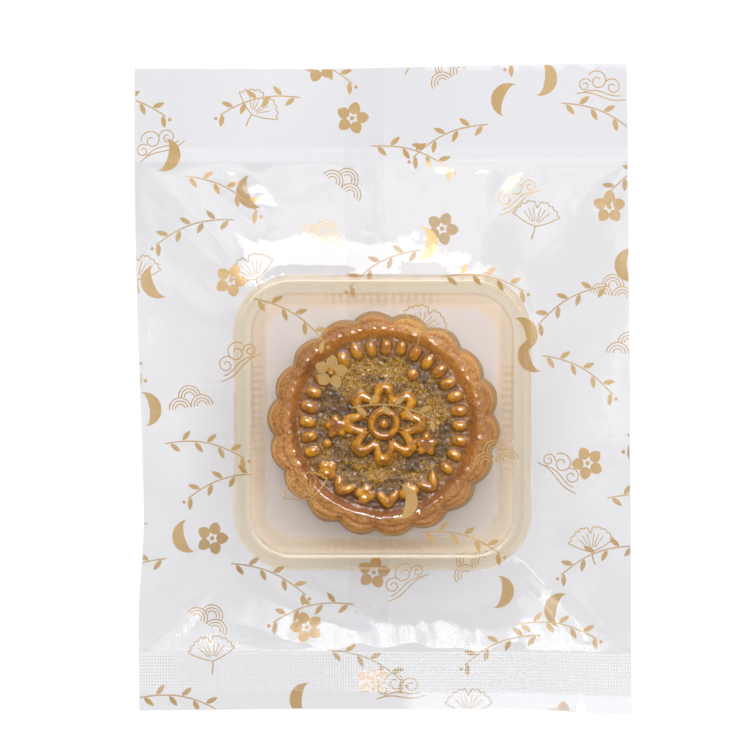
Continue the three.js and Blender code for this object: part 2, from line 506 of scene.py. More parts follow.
# Evenly spaced values from low to high, as near to step apart as fits
def steps(low, high, step):
    return np.linspace(low, high, int(round((high - low) / step)) + 1)


# What each film lets through, the share it mirrors face on, and how much its streaks fray
# what it mirrors
films = {
    "clearFilm": {"tint": (0.889, 0.887, 0.902), "mirror": 0.05, "fray": 0.024},
    "weldedFilm": {"tint": (0.905, 0.902, 0.915), "mirror": 0.05, "fray": 0.0},
    "seamFilm": {"tint": (0.99, 0.986, 0.987), "mirror": 0.004, "fray": 0.0},
}
filmSurface = {
    "pale": (0.968, 0.968, 0.99),
    "white": (0.93, 0.93, 0.94),
    "roughness": 0.004,
    "streak": (1.3, 6.0, 6.0),  # across, along and up, in millimetres
    "streakTurn": 0.42,
}


# Clear film: light goes through with a faint tint, paler where paleShare says, and a share
# that grows with the fifth power towards grazing angles is mirrored; where the highlight share
# says, a flat white is painted in as a highlight
def filmLook(name):
    kind = films[name]
    look, tree = newLook(name)
    facing = addNode(tree, "LayerWeight", {"Blend": 0.5}).outputs["Facing"]
    mirrored = remap(tree, combine(tree, "POWER", facing, 5.0), 0.0, 1.0, kind["mirror"], 1.0)
    place = addNode(tree, "TexCoord").outputs["Object"]
    scale = tuple(1 / (size * mm) for size in filmSurface["streak"])
    turned = {"Vector": place, "Rotation": (0, 0, filmSurface["streakTurn"]), "Scale": scale}
    mapped = addNode(tree, "Mapping", turned).outputs[0]
    streaks = addNode(tree, "TexNoise", {"Vector": mapped, "Detail": 1.0})
    normal = bump(tree, streaks.outputs["Fac"], kind["fray"])
    pale = attributeShare(tree, "paleShare")
    tone = blendColours(tree, pale, (*kind["tint"], 1), (*filmSurface["pale"], 1))
    through = addNode(tree, "BsdfTransparent", {"Color": tone})
    # painted highlight: a flat white diffuse, laid in where the highlight share says
    white = addNode(tree, "BsdfDiffuse", {"Color": (*filmSurface["white"], 1)})
    through = blendShaders(tree, attributeShare(tree, "paintedHighlightShare"), through, white)
    gloss = {"Roughness": filmSurface["roughness"], "Normal": normal}
    finishLook(tree, blendShaders(tree, mirrored, through, addNode(tree, "BsdfGlossy", gloss)))
    return look


# How much paler the film is: the upper sheet and the lower one on the tray, painted light that
# lifts the shade around the cake; beyond the plain seal and more on it; and in a ragged fringe
# along the flap's border, right of fringeX, a painted highlight
paleness = {
    "upper": 0.4,
    "lower": 1.0,
    "flap": 0.4,
    "seal": 0.2,
    "blend": 0.3,
    "fringe": 1.2,
    "fringeDepth": (0.2, 1.1),
    "fringeX": (8, 14),
    "fringeWaves": (27, 2, 9),
}


# The two sheets from the crimped seal to the flap's border, with their pale places
def makeFilm(look):
    columns = steps(-halfWidth, halfWidth, pouch["step"])
    rows = steps(crimpStart, halfLength, pouch["step"])
    points, faces = twoSheets(columns, rows, topSheet, bottomSheet)
    flat = np.tile(np.repeat(rows, len(columns)), 2)
    x, y = points[:, 0], points[:, 1]
    onTray = np.maximum(np.abs(x), np.abs(y - trayForm["centreY"])) < trayForm["base"] / 2
    lowerOnes = np.arange(len(points)) >= len(points) // 2
    # painted light: over the tray both sheets are paler, which lifts the shade around the cake
    pale = onTray * np.where(lowerOnes, paleness["lower"], paleness["upper"])
    blend = paleness["blend"]
    pale = pale + paleness["flap"] * ease(sealStart - blend, sealStart + blend, flat)
    onSeal = (1 - ease(sealEnd - blend, sealEnd + blend, flat)) * (flat > sealStart)
    pale = pale + paleness["seal"] * onSeal
    # painted highlight: a ragged pale fringe along the flap's border
    ragged = halfLength - flat + 0.5 * waves(x, 0 * y, *paleness["fringeWaves"])
    fringe = (1 - ease(*paleness["fringeDepth"], ragged)) * ease(*paleness["fringeX"], x)
    pale = np.clip(pale + paleness["fringe"] * fringe, 0, 1)
    return putMesh("film", points, faces, look, {"paleShare": pale}, crisp=True)


knurl = {
    "pitchX": 0.685,
    "pitchY": 0.76,
    "height": 0.085,
    "step": 0.171,
    # how strongly it is pressed: plain, and steps of amount, from x, to x
    "press": (0.75, [(0.55, -25, 0), (-0.3, -56, -48)]),
    # how white its tips are, as painted highlights, all times white: plain, a hump of amount,
    # middle and reach in x, and a step of amount, from x, to x
    "white": 0.9,
    "whitePlain": 0.55,
    "whiteHump": (0.45, 12, 34),
    "whiteStep": (0.5, 28, 56),
    "inner": (0.5, 1.2),  # both are more by this amount, in this reach from the inner border
    # the smooth hem is painted pale and white in patches as highlights, most of all on the right
    "hemWaves": (21, 14, 40),
    "hemPatch": (0.1, 0.6),
    "hemWhite": 0.35,
}
hemEnd = -halfLength + pouch["hem"]
notch = {"x": 48.2, "width": 2.4, "depth": 2.6, "blunt": 1.4, "taper": 0.9}


# Rows and columns of raised dots, (1 + cos) / 2 along times across, stronger towards both
# ends of the seal
def embossing(x, y):
    barsAlong = 0.5 + 0.5 * np.cos(2 * np.pi * x / knurl["pitchX"])
    barsAcross = 0.5 + 0.5 * np.cos(2 * np.pi * y / knurl["pitchY"])
    inside = ease(hemEnd, hemEnd + 0.5, y) * ease(0, 0.5, crimpStart - y)
    plain, curves = knurl["press"]
    strength = plain + sum(amount * ease(low, high, x) for amount, low, high in curves)
    strength = strength + knurl["inner"][0] * hump((crimpStart - y) / knurl["inner"][1])
    return barsAlong * barsAcross * inside * np.minimum(strength, 1)


# The crimped seal and the smooth hem below it: two sheets pressed together, both embossed
def makeCrimp(look):
    # the notch pulls the lower border in along y: depth * (blunt - taper * across)
    def bite(x):
        across = np.abs(x - notch["x"]) / (notch["width"] / 2)
        pull = np.clip(notch["blunt"] - notch["taper"] * across, 0, 1)
        return notch["depth"] * pull * (across < 1)

    columns = steps(-halfWidth, halfWidth, knurl["step"])
    plainRows = steps(-halfLength, hemEnd, pouch["step"])[:-1]
    rows = np.concatenate([plainRows, steps(hemEnd, crimpStart, knurl["step"])])

    def top(x, y):
        return edgeHeight(x, y) + knurl["height"] * embossing(x, y) + pouch["pressed"]

    def bottom(x, y):
        return edgeHeight(x, y) + knurl["height"] * embossing(x, y) - pouch["pressed"]

    points, faces = twoSheets(columns, rows, top, bottom)
    x, y = points[:, 0], points[:, 1]
    low = 1 - np.clip((y + halfLength) / pouch["hem"], 0, 1)
    points[:, 1] = y + bite(x) * low
    c, r = np.meshgrid(columns, rows)
    # painted highlight: the dots' tips and patches of the hem are laid in white
    amount, middle, reach = knurl["whiteHump"]
    share = knurl["whitePlain"] + amount * hump((c - middle) / reach)
    amount, low, high = knurl["whiteStep"]
    share = knurl["white"] * (share + amount * ease(low, high, c))
    share = share + knurl["inner"][0] * hump((crimpStart - r) / knurl["inner"][1])
    tips = np.clip(share * embossing(c, r) ** 0.8, 0, 1)
    patches = ease(*knurl["hemPatch"], waves(c, 0.6 * r, *knurl["hemWaves"]))
    hemShare = np.clip(patches * ease(-30, 0, c) + ease(8, 30, c), 0, 1)
    hemShare = hemShare * (1 - ease(hemEnd - 0.2, hemEnd + 0.3, r))
    pale = np.concatenate([hemShare.ravel(), hemShare.ravel()])
    tips = np.maximum(tips, knurl["hemWhite"] * hemShare)
    tips = np.concatenate([tips.ravel(), 0 * tips.ravel()])
    shares = {"paintedHighlightShare": tips, "paleShare": pale}
    return putMesh("crimpSeal", points, faces, look, shares, crisp=True)


backSeam = {
    "left": -9.0,
    "right": 0.7,
    "below": 0.1,
    "thick": 0.06,
    "step": 1.0,
    "topGap": 0.3,
    "wearAndGlare": 0.7,  # painted highlight: it is painted white by this share, raggedly, near the end seal
    "glareTo": (-58, -56),
    "glareWaves": (23, 2, 7),
}


# The folded-over seam along the pouch's back: a thin strip just under the lower sheet
def makeBackSeam(look):
    rows = steps(crimpStart, halfLength - backSeam["topGap"], backSeam["step"])
    columns = np.linspace(backSeam["left"], backSeam["right"], 9)

    def top(x, y):
        return bottomSheet(x, y) - backSeam["below"]

    def bottom(x, y):
        return top(x, y) - backSeam["thick"]

    points, faces = twoSheets(columns, rows, top, bottom)
    x, y = points[:, 0], points[:, 1]
    # painted highlight: white laid raggedly over the seam near the end seal
    ragged = y + 0.8 * waves(x, y, *backSeam["glareWaves"]) + 0.5 * x
    wearAndGlare = backSeam["wearAndGlare"] * (1 - ease(*backSeam["glareTo"], ragged))
    return putMesh("backSeam", points, faces, look, {"paintedHighlightShare": wearAndGlare}, crisp=True)


tray = {
    "middleX": -0.2,
    "widen": 0.009,  # it is this share wider than long
    "thick": 0.42,
    "flutePitch": 1.8,
    "fluteDepth": 0.26,
    "fluteSpan": 14.0,
    "sideSteps": 150,
    "cornerSteps": 14,
    # cross-section from the skirt's foot over the rim and down the wall: inset, height
    "section": [
        (0.0, 15.6), (0.1, 17.4), (0.3, 18.5), (0.6, 18.95), (0.95, 19.1), (1.15, 19.22),
        (1.35, 19.38), (1.55, 19.53), (1.75, 19.58), (2.4, 19.58), (3.1, 19.57),
        (3.3, 19.5), (3.5, 19.34), (3.7, 19.18), (3.9, 19.08), (4.2, 19.04), (4.5, 18.98),
        (4.66, 18.75), (4.76, 18.1), (5.05, 15.5), (5.4, 12.0), (5.75, 8.5), (6.05, 5.4),
        (6.3, 3.4), (6.6, 2.3), (7.0, 1.7), (7.4, 1.4), (7.7, 1.32), (7.9, 1.15),
        (8.2, 1.1), (13.0, 1.1), (18.0, 1.1), (26.0, 1.1),
    ],
    "fluteTop": (17.8, 18.8),  # heights between which the flutes fade out, and in
    "fluteBottom": (1.1, 3.6),
    "tightest": 0.25,  # a ring's corners keep at least this share of its half size
    "rimFrom": (18.3, 19.0),  # heights between which the rim's tone begins
    "footFrom": (3, 17),  # and between which the painted shade at the walls' foot ends
    "southFrom": (-20, 10),  # from the middle along y: between which the lower side's share of painted light and shade ends
    "southPaintedLightShare": 0.6,
    "onRim": 14,  # lines lie above this height
    "lineShare": (0.75, 0.35),  # how strong they are on the upper side, and the lower one
    "sideFrom": (22, 31),  # how far out the upper and lower lines begin
    "wallInset": 4.6,  # the inner wall begins here
    "wallLight": 0.56,  # painted light: share of a bright scattering tone laid on the lower wall to light it
    # thin tan lines along the rim: inset, half width, strength
    "lines": [(0.0, 0.25, 0.35), (1.02, 0.22, 0.45), (4.7, 0.28, 1.0)],
    # and painted highlights, bright cloudy cream lines on the rim's ridges, along the upper side
    # and along the lower one
    "upperLines": [(1.45, 0.4, 1.1), (2.5, 0.3, 0.35)],
    "lowerLines": [(3.75, 0.4, 1.0), (2.8, 0.25, 0.5), (0.5, 0.5, 0.5)],
}


# Points of rounded squares, one ring for each inset: a corner's or side's anchor carried
# out along its normal, anchor * (half - radius) + normal * radius
def trayRings(insets, heights):
    along = np.linspace(-1, 1, tray["sideSteps"])
    turns = np.linspace(0, np.pi / 2, tray["cornerSteps"] + 2)[1:-1]
    anchors, normals, places = [], [], []
    for quarter in range(4):
        turn = quarter * np.pi / 2
        spin = np.array([[np.cos(turn), np.sin(turn)], [-np.sin(turn), np.cos(turn)]])
        side = np.stack([np.ones_like(along), along], axis=-1)
        corner = np.ones((len(turns), 2))
        anchors += [side @ spin, corner @ spin]
        out = np.tile([1.0, 0.0], (len(along), 1))
        bend = np.stack([np.cos(turns), np.sin(turns)], axis=-1)
        normals += [out @ spin, bend @ spin]
        places += [along, np.full(len(turns), 9.0)]  # off the sides, so without flutes
    anchor, normal, place = (np.concatenate(k) for k in (anchors, normals, places))
    half = trayForm["size"] / 2 - insets
    radius = np.clip(trayForm["corner"] - insets, tray["tightest"] * half, None)
    span = half - radius
    position = place[None, :] * span[:, None]
    fluted = band(*tray["fluteBottom"], *tray["fluteTop"], heights)
    ribs = 0.5 - 0.5 * np.cos(2 * np.pi * position / tray["flutePitch"])
    middle = 1 - ease(tray["fluteSpan"] - 1.0, tray["fluteSpan"] + 0.2, np.abs(position))
    push = tray["fluteDepth"] * fluted[:, None] * ribs * middle
    xy = anchor[None] * span[:, None, None] + normal[None] * (radius[:, None] - push)[..., None]
    xy = xy * [1 + tray["widen"], 1.0] + [tray["middleX"], trayForm["centreY"]]
    z = np.broadcast_to(heights[:, None], xy.shape[:2])
    return np.concatenate([xy, z[..., None]], axis=-1), fluted[:, None] * ribs * middle


trayTones = {
    # what goes through: cloudy in two tones, on the lower side painted warmer as shade, on the
    # rim, and in walls, painted darker as shade at the foot and on the ribs and lighter on the
    # lower side
    "cloud": [(0.985, 0.945, 0.912, 1), (1.0, 0.962, 0.93, 1)],
    "south": (1.0, 0.95, 0.89, 1),
    "rim": (1.0, 0.95, 0.84, 1),
    "wallTop": (1.0, 0.94, 0.83, 1),
    "wallFootShade": (1.0, 0.9, 0.775, 1),
    "wallSouth": (1.0, 0.965, 0.87, 1),
    "ribShade": (0.92, 0.82, 0.69, 1),
    "line": (0.9, 0.76, 0.58, 1),
    # what is scattered
    "milk": [
        ("cloud", (240, 230, 220), (246, 237, 228)),
        ("rimShare", 1.0, (250, 236, 206)),
        ("steepShare", 1.0, (255, 241, 222)),
        ("ridgeHighlightShare", 1.0, (255, 247, 228)),
    ],
    "ridgeHighlightMilk": 0.75,
    "gloss": 0.1,
}


# Translucent cream plastic: most light goes through tinted, the rest is scattered to both
# sides; the rim is yellower, and steep walls, where light crosses more plastic, are tan; light and
# shade are painted in on the lower side, at the walls' foot, on the ribs and along the rim's
# ridges
def trayLook():
    look, tree = newLook("creamPlastic")
    steep = attributeShare(tree, "steepShare")
    rim = attributeShare(tree, "rimShare")
    # painted light and shade on the lower side: the clear tone warmer, the wall lighter, ribs and
    # lines fainter
    south = attributeShare(tree, "southPaintedLightShare")
    cloud = speckle(tree, 9, detail=2.0)
    clear = blendColours(tree, cloud, *trayTones["cloud"])
    clear = blendColours(tree, south, clear, trayTones["south"])
    clear = blendColours(tree, rim, clear, trayTones["rim"])
    # painted shade: the walls are tinted darker towards their foot
    footShade = attributeShare(tree, "wallFootShadeShare")
    wall = blendColours(tree, footShade, trayTones["wallTop"], trayTones["wallFootShade"])
    wall = blendColours(tree, south, wall, trayTones["wallSouth"])
    # painted shade: the flutes' ribs are tinted darker, less so on the lower side
    ribShade = times(tree, attributeShare(tree, "ribShadeShare"), remap(tree, south, 0.0, 0.6, 0.65, 0.5))
    wall = blendColours(tree, ribShade, wall, trayTones["ribShade"])
    clear = blendColours(tree, steep, clear, wall)
    clear = blendColours(tree, attributeShare(tree, "lineShare"), clear, trayTones["line"])
    tone = layered(tree, {"cloud": cloud}, trayTones["milk"])
    dense = remap(tree, larger(tree, steep, rim), 0.0, 1.0, 0.02, 0.06)
    # painted light: less is scattered on the lower side, so it comes out lighter
    dense = times(tree, dense, remap(tree, south, 0.0, 0.6, 1.0, 0.3))
    # painted highlight: bright cream scattered along the rim's ridges
    cream = times(tree, attributeShare(tree, "ridgeHighlightShare"), trayTones["ridgeHighlightMilk"])
    # painted light: the lower wall takes more of the bright scattering tone
    dense = larger(tree, larger(tree, dense, cream), attributeShare(tree, "wallLightShare"))
    normal = bump(tree, speckle(tree, 0.5, detail=3.0), 0.02, 0.2)
    near = addNode(tree, "BsdfDiffuse", {"Color": tone, "Normal": normal})
    far = addNode(tree, "BsdfTranslucent", {"Color": tone, "Normal": normal})
    through = addNode(tree, "BsdfTransparent", {"Color": clear})
    body = blendShaders(tree, dense, through, blendShaders(tree, 0.5, near, far))
    facing = addNode(tree, "LayerWeight", {"Blend": 0.5}).outputs["Facing"]
    mirrored = remap(tree, combine(tree, "POWER", facing, 5.0), 0.0, 1.0, 0.035, 0.14)
    gloss = {"Color": (1, 1, 1, 1), "Roughness": trayTones["gloss"], "Normal": normal}
    finishLook(tree, blendShaders(tree, mirrored, body, addNode(tree, "BsdfGlossy", gloss)))
    return look


# A thin shell: the upper face follows the section, the lower one lies a wall's thickness
# away along the section's normal, and both close on a point in the middle of the floor
def makeTray(look):
    section = np.array(tray["section"])
    slope = np.gradient(section, axis=0)
    slope /= np.linalg.norm(slope, axis=1)[:, None]
    # to the right of the way the section runs is outwards on the skirt and down elsewhere
    under = section + tray["thick"] * np.stack([slope[:, 1], -slope[:, 0]], axis=-1)
    under[0] = section[0] + [tray["thick"], 0]
    over = section
    path = np.concatenate([over, under[::-1]])
    rings, ribs = trayRings(path[:, 0], path[:, 1])
    rows, columns = rings.shape[:2]
    faces = gridFaces(rows, columns, closeRows=True, closeColumns=True)
    rowOf = np.minimum(faces[:, 0] // columns, rows)
    faces = faces[rowOf != len(over) - 1]
    points = rings.reshape(-1, 3)
    fans = [
        fan((len(over) - 1) * columns, columns, len(points)),
        fan(len(over) * columns, columns, len(points) + 1, turned=True),
    ]
    middles = [[tray["middleX"], trayForm["centreY"], level[-1, 1]] for level in (over, under)]
    points = np.concatenate([points, middles])
    runs = np.gradient(path, axis=0)
    steep = np.abs(runs[:, 1]) / np.linalg.norm(runs, axis=1)
    inset = np.concatenate([section[:, 0], section[::-1, 0]])
    onRim = np.concatenate([section[:, 1], section[::-1, 1]]) > tray["onRim"]
    off = points[:, 1] - trayForm["centreY"]

    # a value for each ring, carried to all its points; the two middles get 0
    def everywhere(values):
        return np.append(np.repeat(values, columns), [0, 0])

    def lines(key):
        rows = tray[key]
        return everywhere(onRim * sum(s * hump((inset - at) / half) for at, half, s in rows))

    steep = everywhere(steep)
    south = 1 - ease(*tray["southFrom"], off)
    upper, lower = (ease(*tray["sideFrom"], side * off) for side in (1, -1))
    # some shares are painted light: shade at the walls' foot and on the ribs, light and shade on
    # the lower side, highlights on the rim's ridges and light on the lower wall
    shares = {
        "steepShare": steep,
        "rimShare": ease(*tray["rimFrom"], points[:, 2]),
        "wallFootShadeShare": 1 - ease(*tray["footFrom"], points[:, 2]),
        "lineShare": lines("lines") * mix(*tray["lineShare"], south),
        "ribShadeShare": np.append(ribs.ravel(), [0, 0]),
        "southPaintedLightShare": tray["southPaintedLightShare"] * south,
        "ridgeHighlightShare": lines("upperLines") * upper + lines("lowerLines") * lower,
        "wallLightShare": tray["wallLight"] * everywhere(inset > tray["wallInset"]) * steep * south,
    }
    return putMesh("tray", points, [faces, *fans], look, shares)


cake = {
    "centre": (0.3, -8.7),
    "shoulderShift": (-0.45, -0.15),  # the shoulder sits this far off the foot, and the top
    "topShift": (-0.1, 0.3),
    "oval": 0.017,  # wider than long by this share, and less so towards the rim
    "lobes": 18,
    "firstLobe": 14.2,  # degrees from +Y, clockwise
    "foot": (27.9, 26.4),  # radius at a lobe's peak and between lobes
    "top": (26.85, 25.1),
    "rim": 22.8,
    "innerWall": 20.3,
    # where the rim and the inner wall run further out
    "bulge": {"turn": -48, "reach": 55, "rim": 0.9, "wall": 0.5},
    # the side, by the way up: where the foot's outline becomes the top's, then amount and
    # place of its swelling and of the tuck at its lower edge
    "widening": (0.22, 0.5),
    "swell": (0.2, 0.7, 0.3),
    "tuck": (0.6, 0, 0.1),
    # the shoulder: the lobes' puffed tops, and a groove above them
    "puff": (0.5, 0.24, 0.36),
    "groove": (0.09, 0.56, 0.1),
    "bottom": 1.7,
    "shoulder": 17.6,
    "rimHeight": 19.3,
    "floor": 17.3,
    # where the floor is most golden: place and reach
    "golden": [(-7, 10, 9), (9, 3, 8), (3, 13, 7), (-2, -11, 6)],
    "shoulderRise": 0.62,  # powers of its rise and of its way in: below 1, quick at first
    "shoulderRun": 1.15,
    "evenRadius": 26,  # the unevenness of the outline is a share of this radius
    "aroundSteps": 560,
    # rings: under the foot as shares of its radius, then how many in each stretch
    "footRings": (0.05, 0.4, 0.8, 0.93),
    "sideRows": 26,
    "shoulderRows": 19,
    "wallRows": 18,
    "floorRows": 103,
}
beads = {
    "radius": 18.4,
    "long": 3.8,
    "wide": 2.4,
    "height": 1.3,
    "first": -111,  # degrees from +Y, clockwise
    "pitch": 11.25,
    "count": 22,
    "seed": 31,
    "uneven": 0.25,  # how far in or out each may sit
    "sizeBy": 0.4,  # times uneven, the share by which its size may differ
    "lean": 0.16,  # how far it may be turned, in radians
    "square": 2.4,  # 2 is an ellipse, and more is squarer
}
rosette = {
    "radius": 7.2,
    "wave": 1.45,
    "petals": 8,
    "line": 2.35,
    "ring": 3.0,
    "ringLine": 1.7,
    "button": 1.2,
    "height": 1.5,
}
stars = [{"at": (-11.5, -0.7), "turn": 20}, {"at": (10.1, -5.0), "turn": -12}]
starForm = {"points": 5, "radius": 2.45, "wave": 0.5, "height": 1.35, "flat": 5, "edge": 0.6}
dots = [{"at": (-13.6, -4.7), "radius": 1.1}, {"at": (6.9, 11.8), "radius": 1.4}]
dotHeight = 1.0
moundForm = {"power": 0.55, "skirt": 0.2, "skirtReach": 0.4}
garland = {
    "radius": 17.5,
    "angles": (143, 160, 177, 195, 213, 231),
    "height": 1.3,
    "blossom": (1.794, 0.69),  # reach between two petals, and how much further a petal reaches
    "eye": (0.8, 0.5),  # its hollow middle: reach and depth
    "leaf": (2.5, 1.05),
    "leafTurn": 0.6,
    "leafAside": 1.2,
}


# Unevenness of the crust: height (of the ornaments, a share of theirs), then the waves' seed,
# shortest, longest and, where not the usual number, how many
crumb = {
    "lumps": (0.16, 11, 9, 30),
    "bumps": (0.05, 12, 2, 6),
    "floor": (0.14, 13, 3, 8),
    "floorGrit": (0.07, 14, 1.2, 2.4),
    "ornaments": (0.06, 15, 4, 9),
    "rimGrit": (0.1, 16, 1.4, 3.6, 20),
    "rim": (0.12, 17, 4, 9),
}


# Round-topped mound: height * (1 - q^2)^power where q is 0 in the middle and 1 at the foot,
# and a low skirt round it
def mound(q, height):
    skirt = moundForm["skirt"] * hump((np.maximum(q, 1) - 1) / moundForm["skirtReach"])
    return height * np.maximum(np.clip(1 - q * q, 0, 1) ** moundForm["power"], skirt)


# Height of what is moulded on the floor at a point: the highest of all the mounds there, each
# from q, its distance from the middle as a share of the reach to the foot
def ornaments(u, v):
    angle = np.arctan2(u, v)
    radius = np.hypot(u, v)
    # beads: a mound on a slightly squared ellipse that points at the middle
    nearest = np.round((np.degrees(angle) - beads["first"]) / beads["pitch"])
    nearest = np.clip(nearest, 0, beads["count"] - 1)
    turn = np.radians(beads["first"] + nearest * beads["pitch"])
    draws = np.random.default_rng(beads["seed"]).uniform(-1, 1, (3, beads["count"]))
    slip, grow, lean = draws[:, nearest.astype(int)]
    reach = beads["radius"] + beads["uneven"] * slip
    beadU, beadV = reach * np.sin(turn), reach * np.cos(turn)
    turn = turn + beads["lean"] * lean
    along = (u - beadU) * np.sin(turn) + (v - beadV) * np.cos(turn)
    across = (u - beadU) * np.cos(turn) - (v - beadV) * np.sin(turn)
    size = 1 + beads["sizeBy"] * beads["uneven"] * grow
    power = beads["square"]
    q = np.abs(2 * along / beads["long"]) ** power + np.abs(2 * across / beads["wide"]) ** power
    q = q ** (1 / power) / size
    raised = mound(q, beads["height"])
    # rosette: a line along r = radius + wave * cos(petals * angle), a ring and a button
    petals = rosette["petals"] * angle
    line = rosette["radius"] + rosette["wave"] * np.cos(petals)
    slope = rosette["petals"] * rosette["wave"] * np.sin(petals) / line
    off = np.abs(radius - line) / np.sqrt(1 + slope**2)
    raised = np.maximum(raised, mound(off / (rosette["line"] / 2), rosette["height"]))
    off = np.abs(radius - rosette["ring"])
    raised = np.maximum(raised, mound(off / (rosette["ringLine"] / 2), rosette["height"]))
    raised = np.maximum(raised, mound(radius / rosette["button"], rosette["height"]))
    # stars with round points, flat-topped: height * (1 - q^flat)^edge
    for star in stars:
        du, dv = u - star["at"][0], v - star["at"][1]
        points = starForm["points"] * np.arctan2(du, dv) + np.radians(star["turn"])
        q = np.hypot(du, dv) / (starForm["radius"] + starForm["wave"] * np.cos(points))
        top = np.clip(1 - q ** starForm["flat"], 0, 1) ** starForm["edge"]
        raised = np.maximum(raised, starForm["height"] * top)
    for dot in dots:
        q = np.hypot(u - dot["at"][0], v - dot["at"][1]) / dot["radius"]
        raised = np.maximum(raised, mound(q, dotHeight))
    # garland: blossoms of four round petals and pairs of leaves by turns
    for k, degrees in enumerate(garland["angles"]):
        turn = np.radians(degrees)
        du = u - garland["radius"] * np.sin(turn)
        dv = v - garland["radius"] * np.cos(turn)
        along = du * np.sin(turn) + dv * np.cos(turn)
        across = du * np.cos(turn) - dv * np.sin(turn)
        if k % 2:
            valley, petal = garland["blossom"]
            edge = valley + petal * np.abs(np.cos(2 * np.arctan2(across, along)))
            eye, depth = garland["eye"]
            off = np.hypot(along, across)
            shape = mound(off / edge, garland["height"]) - depth * mound(off / eye, 1)
            raised = np.maximum(raised, shape)
        else:
            for side in (-1, 1):
                tilt = side * garland["leafTurn"]
                a = along * np.cos(tilt) - across * np.sin(tilt)
                c = along * np.sin(tilt) + across * np.cos(tilt) - side * garland["leafAside"]
                q = np.hypot(a / garland["leaf"][0], c / garland["leaf"][1])
                raised = np.maximum(raised, mound(q, garland["height"]))
    return raised


# Scalloped outline: peak - (peak - valley) * |off|^1.9, where off is 0 at a lobe's peak and
# 1 between two lobes
def scallops(angle, peak, valley):
    pitch = 2 * np.pi / cake["lobes"]
    t = (angle - np.radians(cake["firstLobe"])) / pitch
    off = 2 * (t - np.round(t))
    return peak - (peak - valley) * np.abs(off) ** 1.9


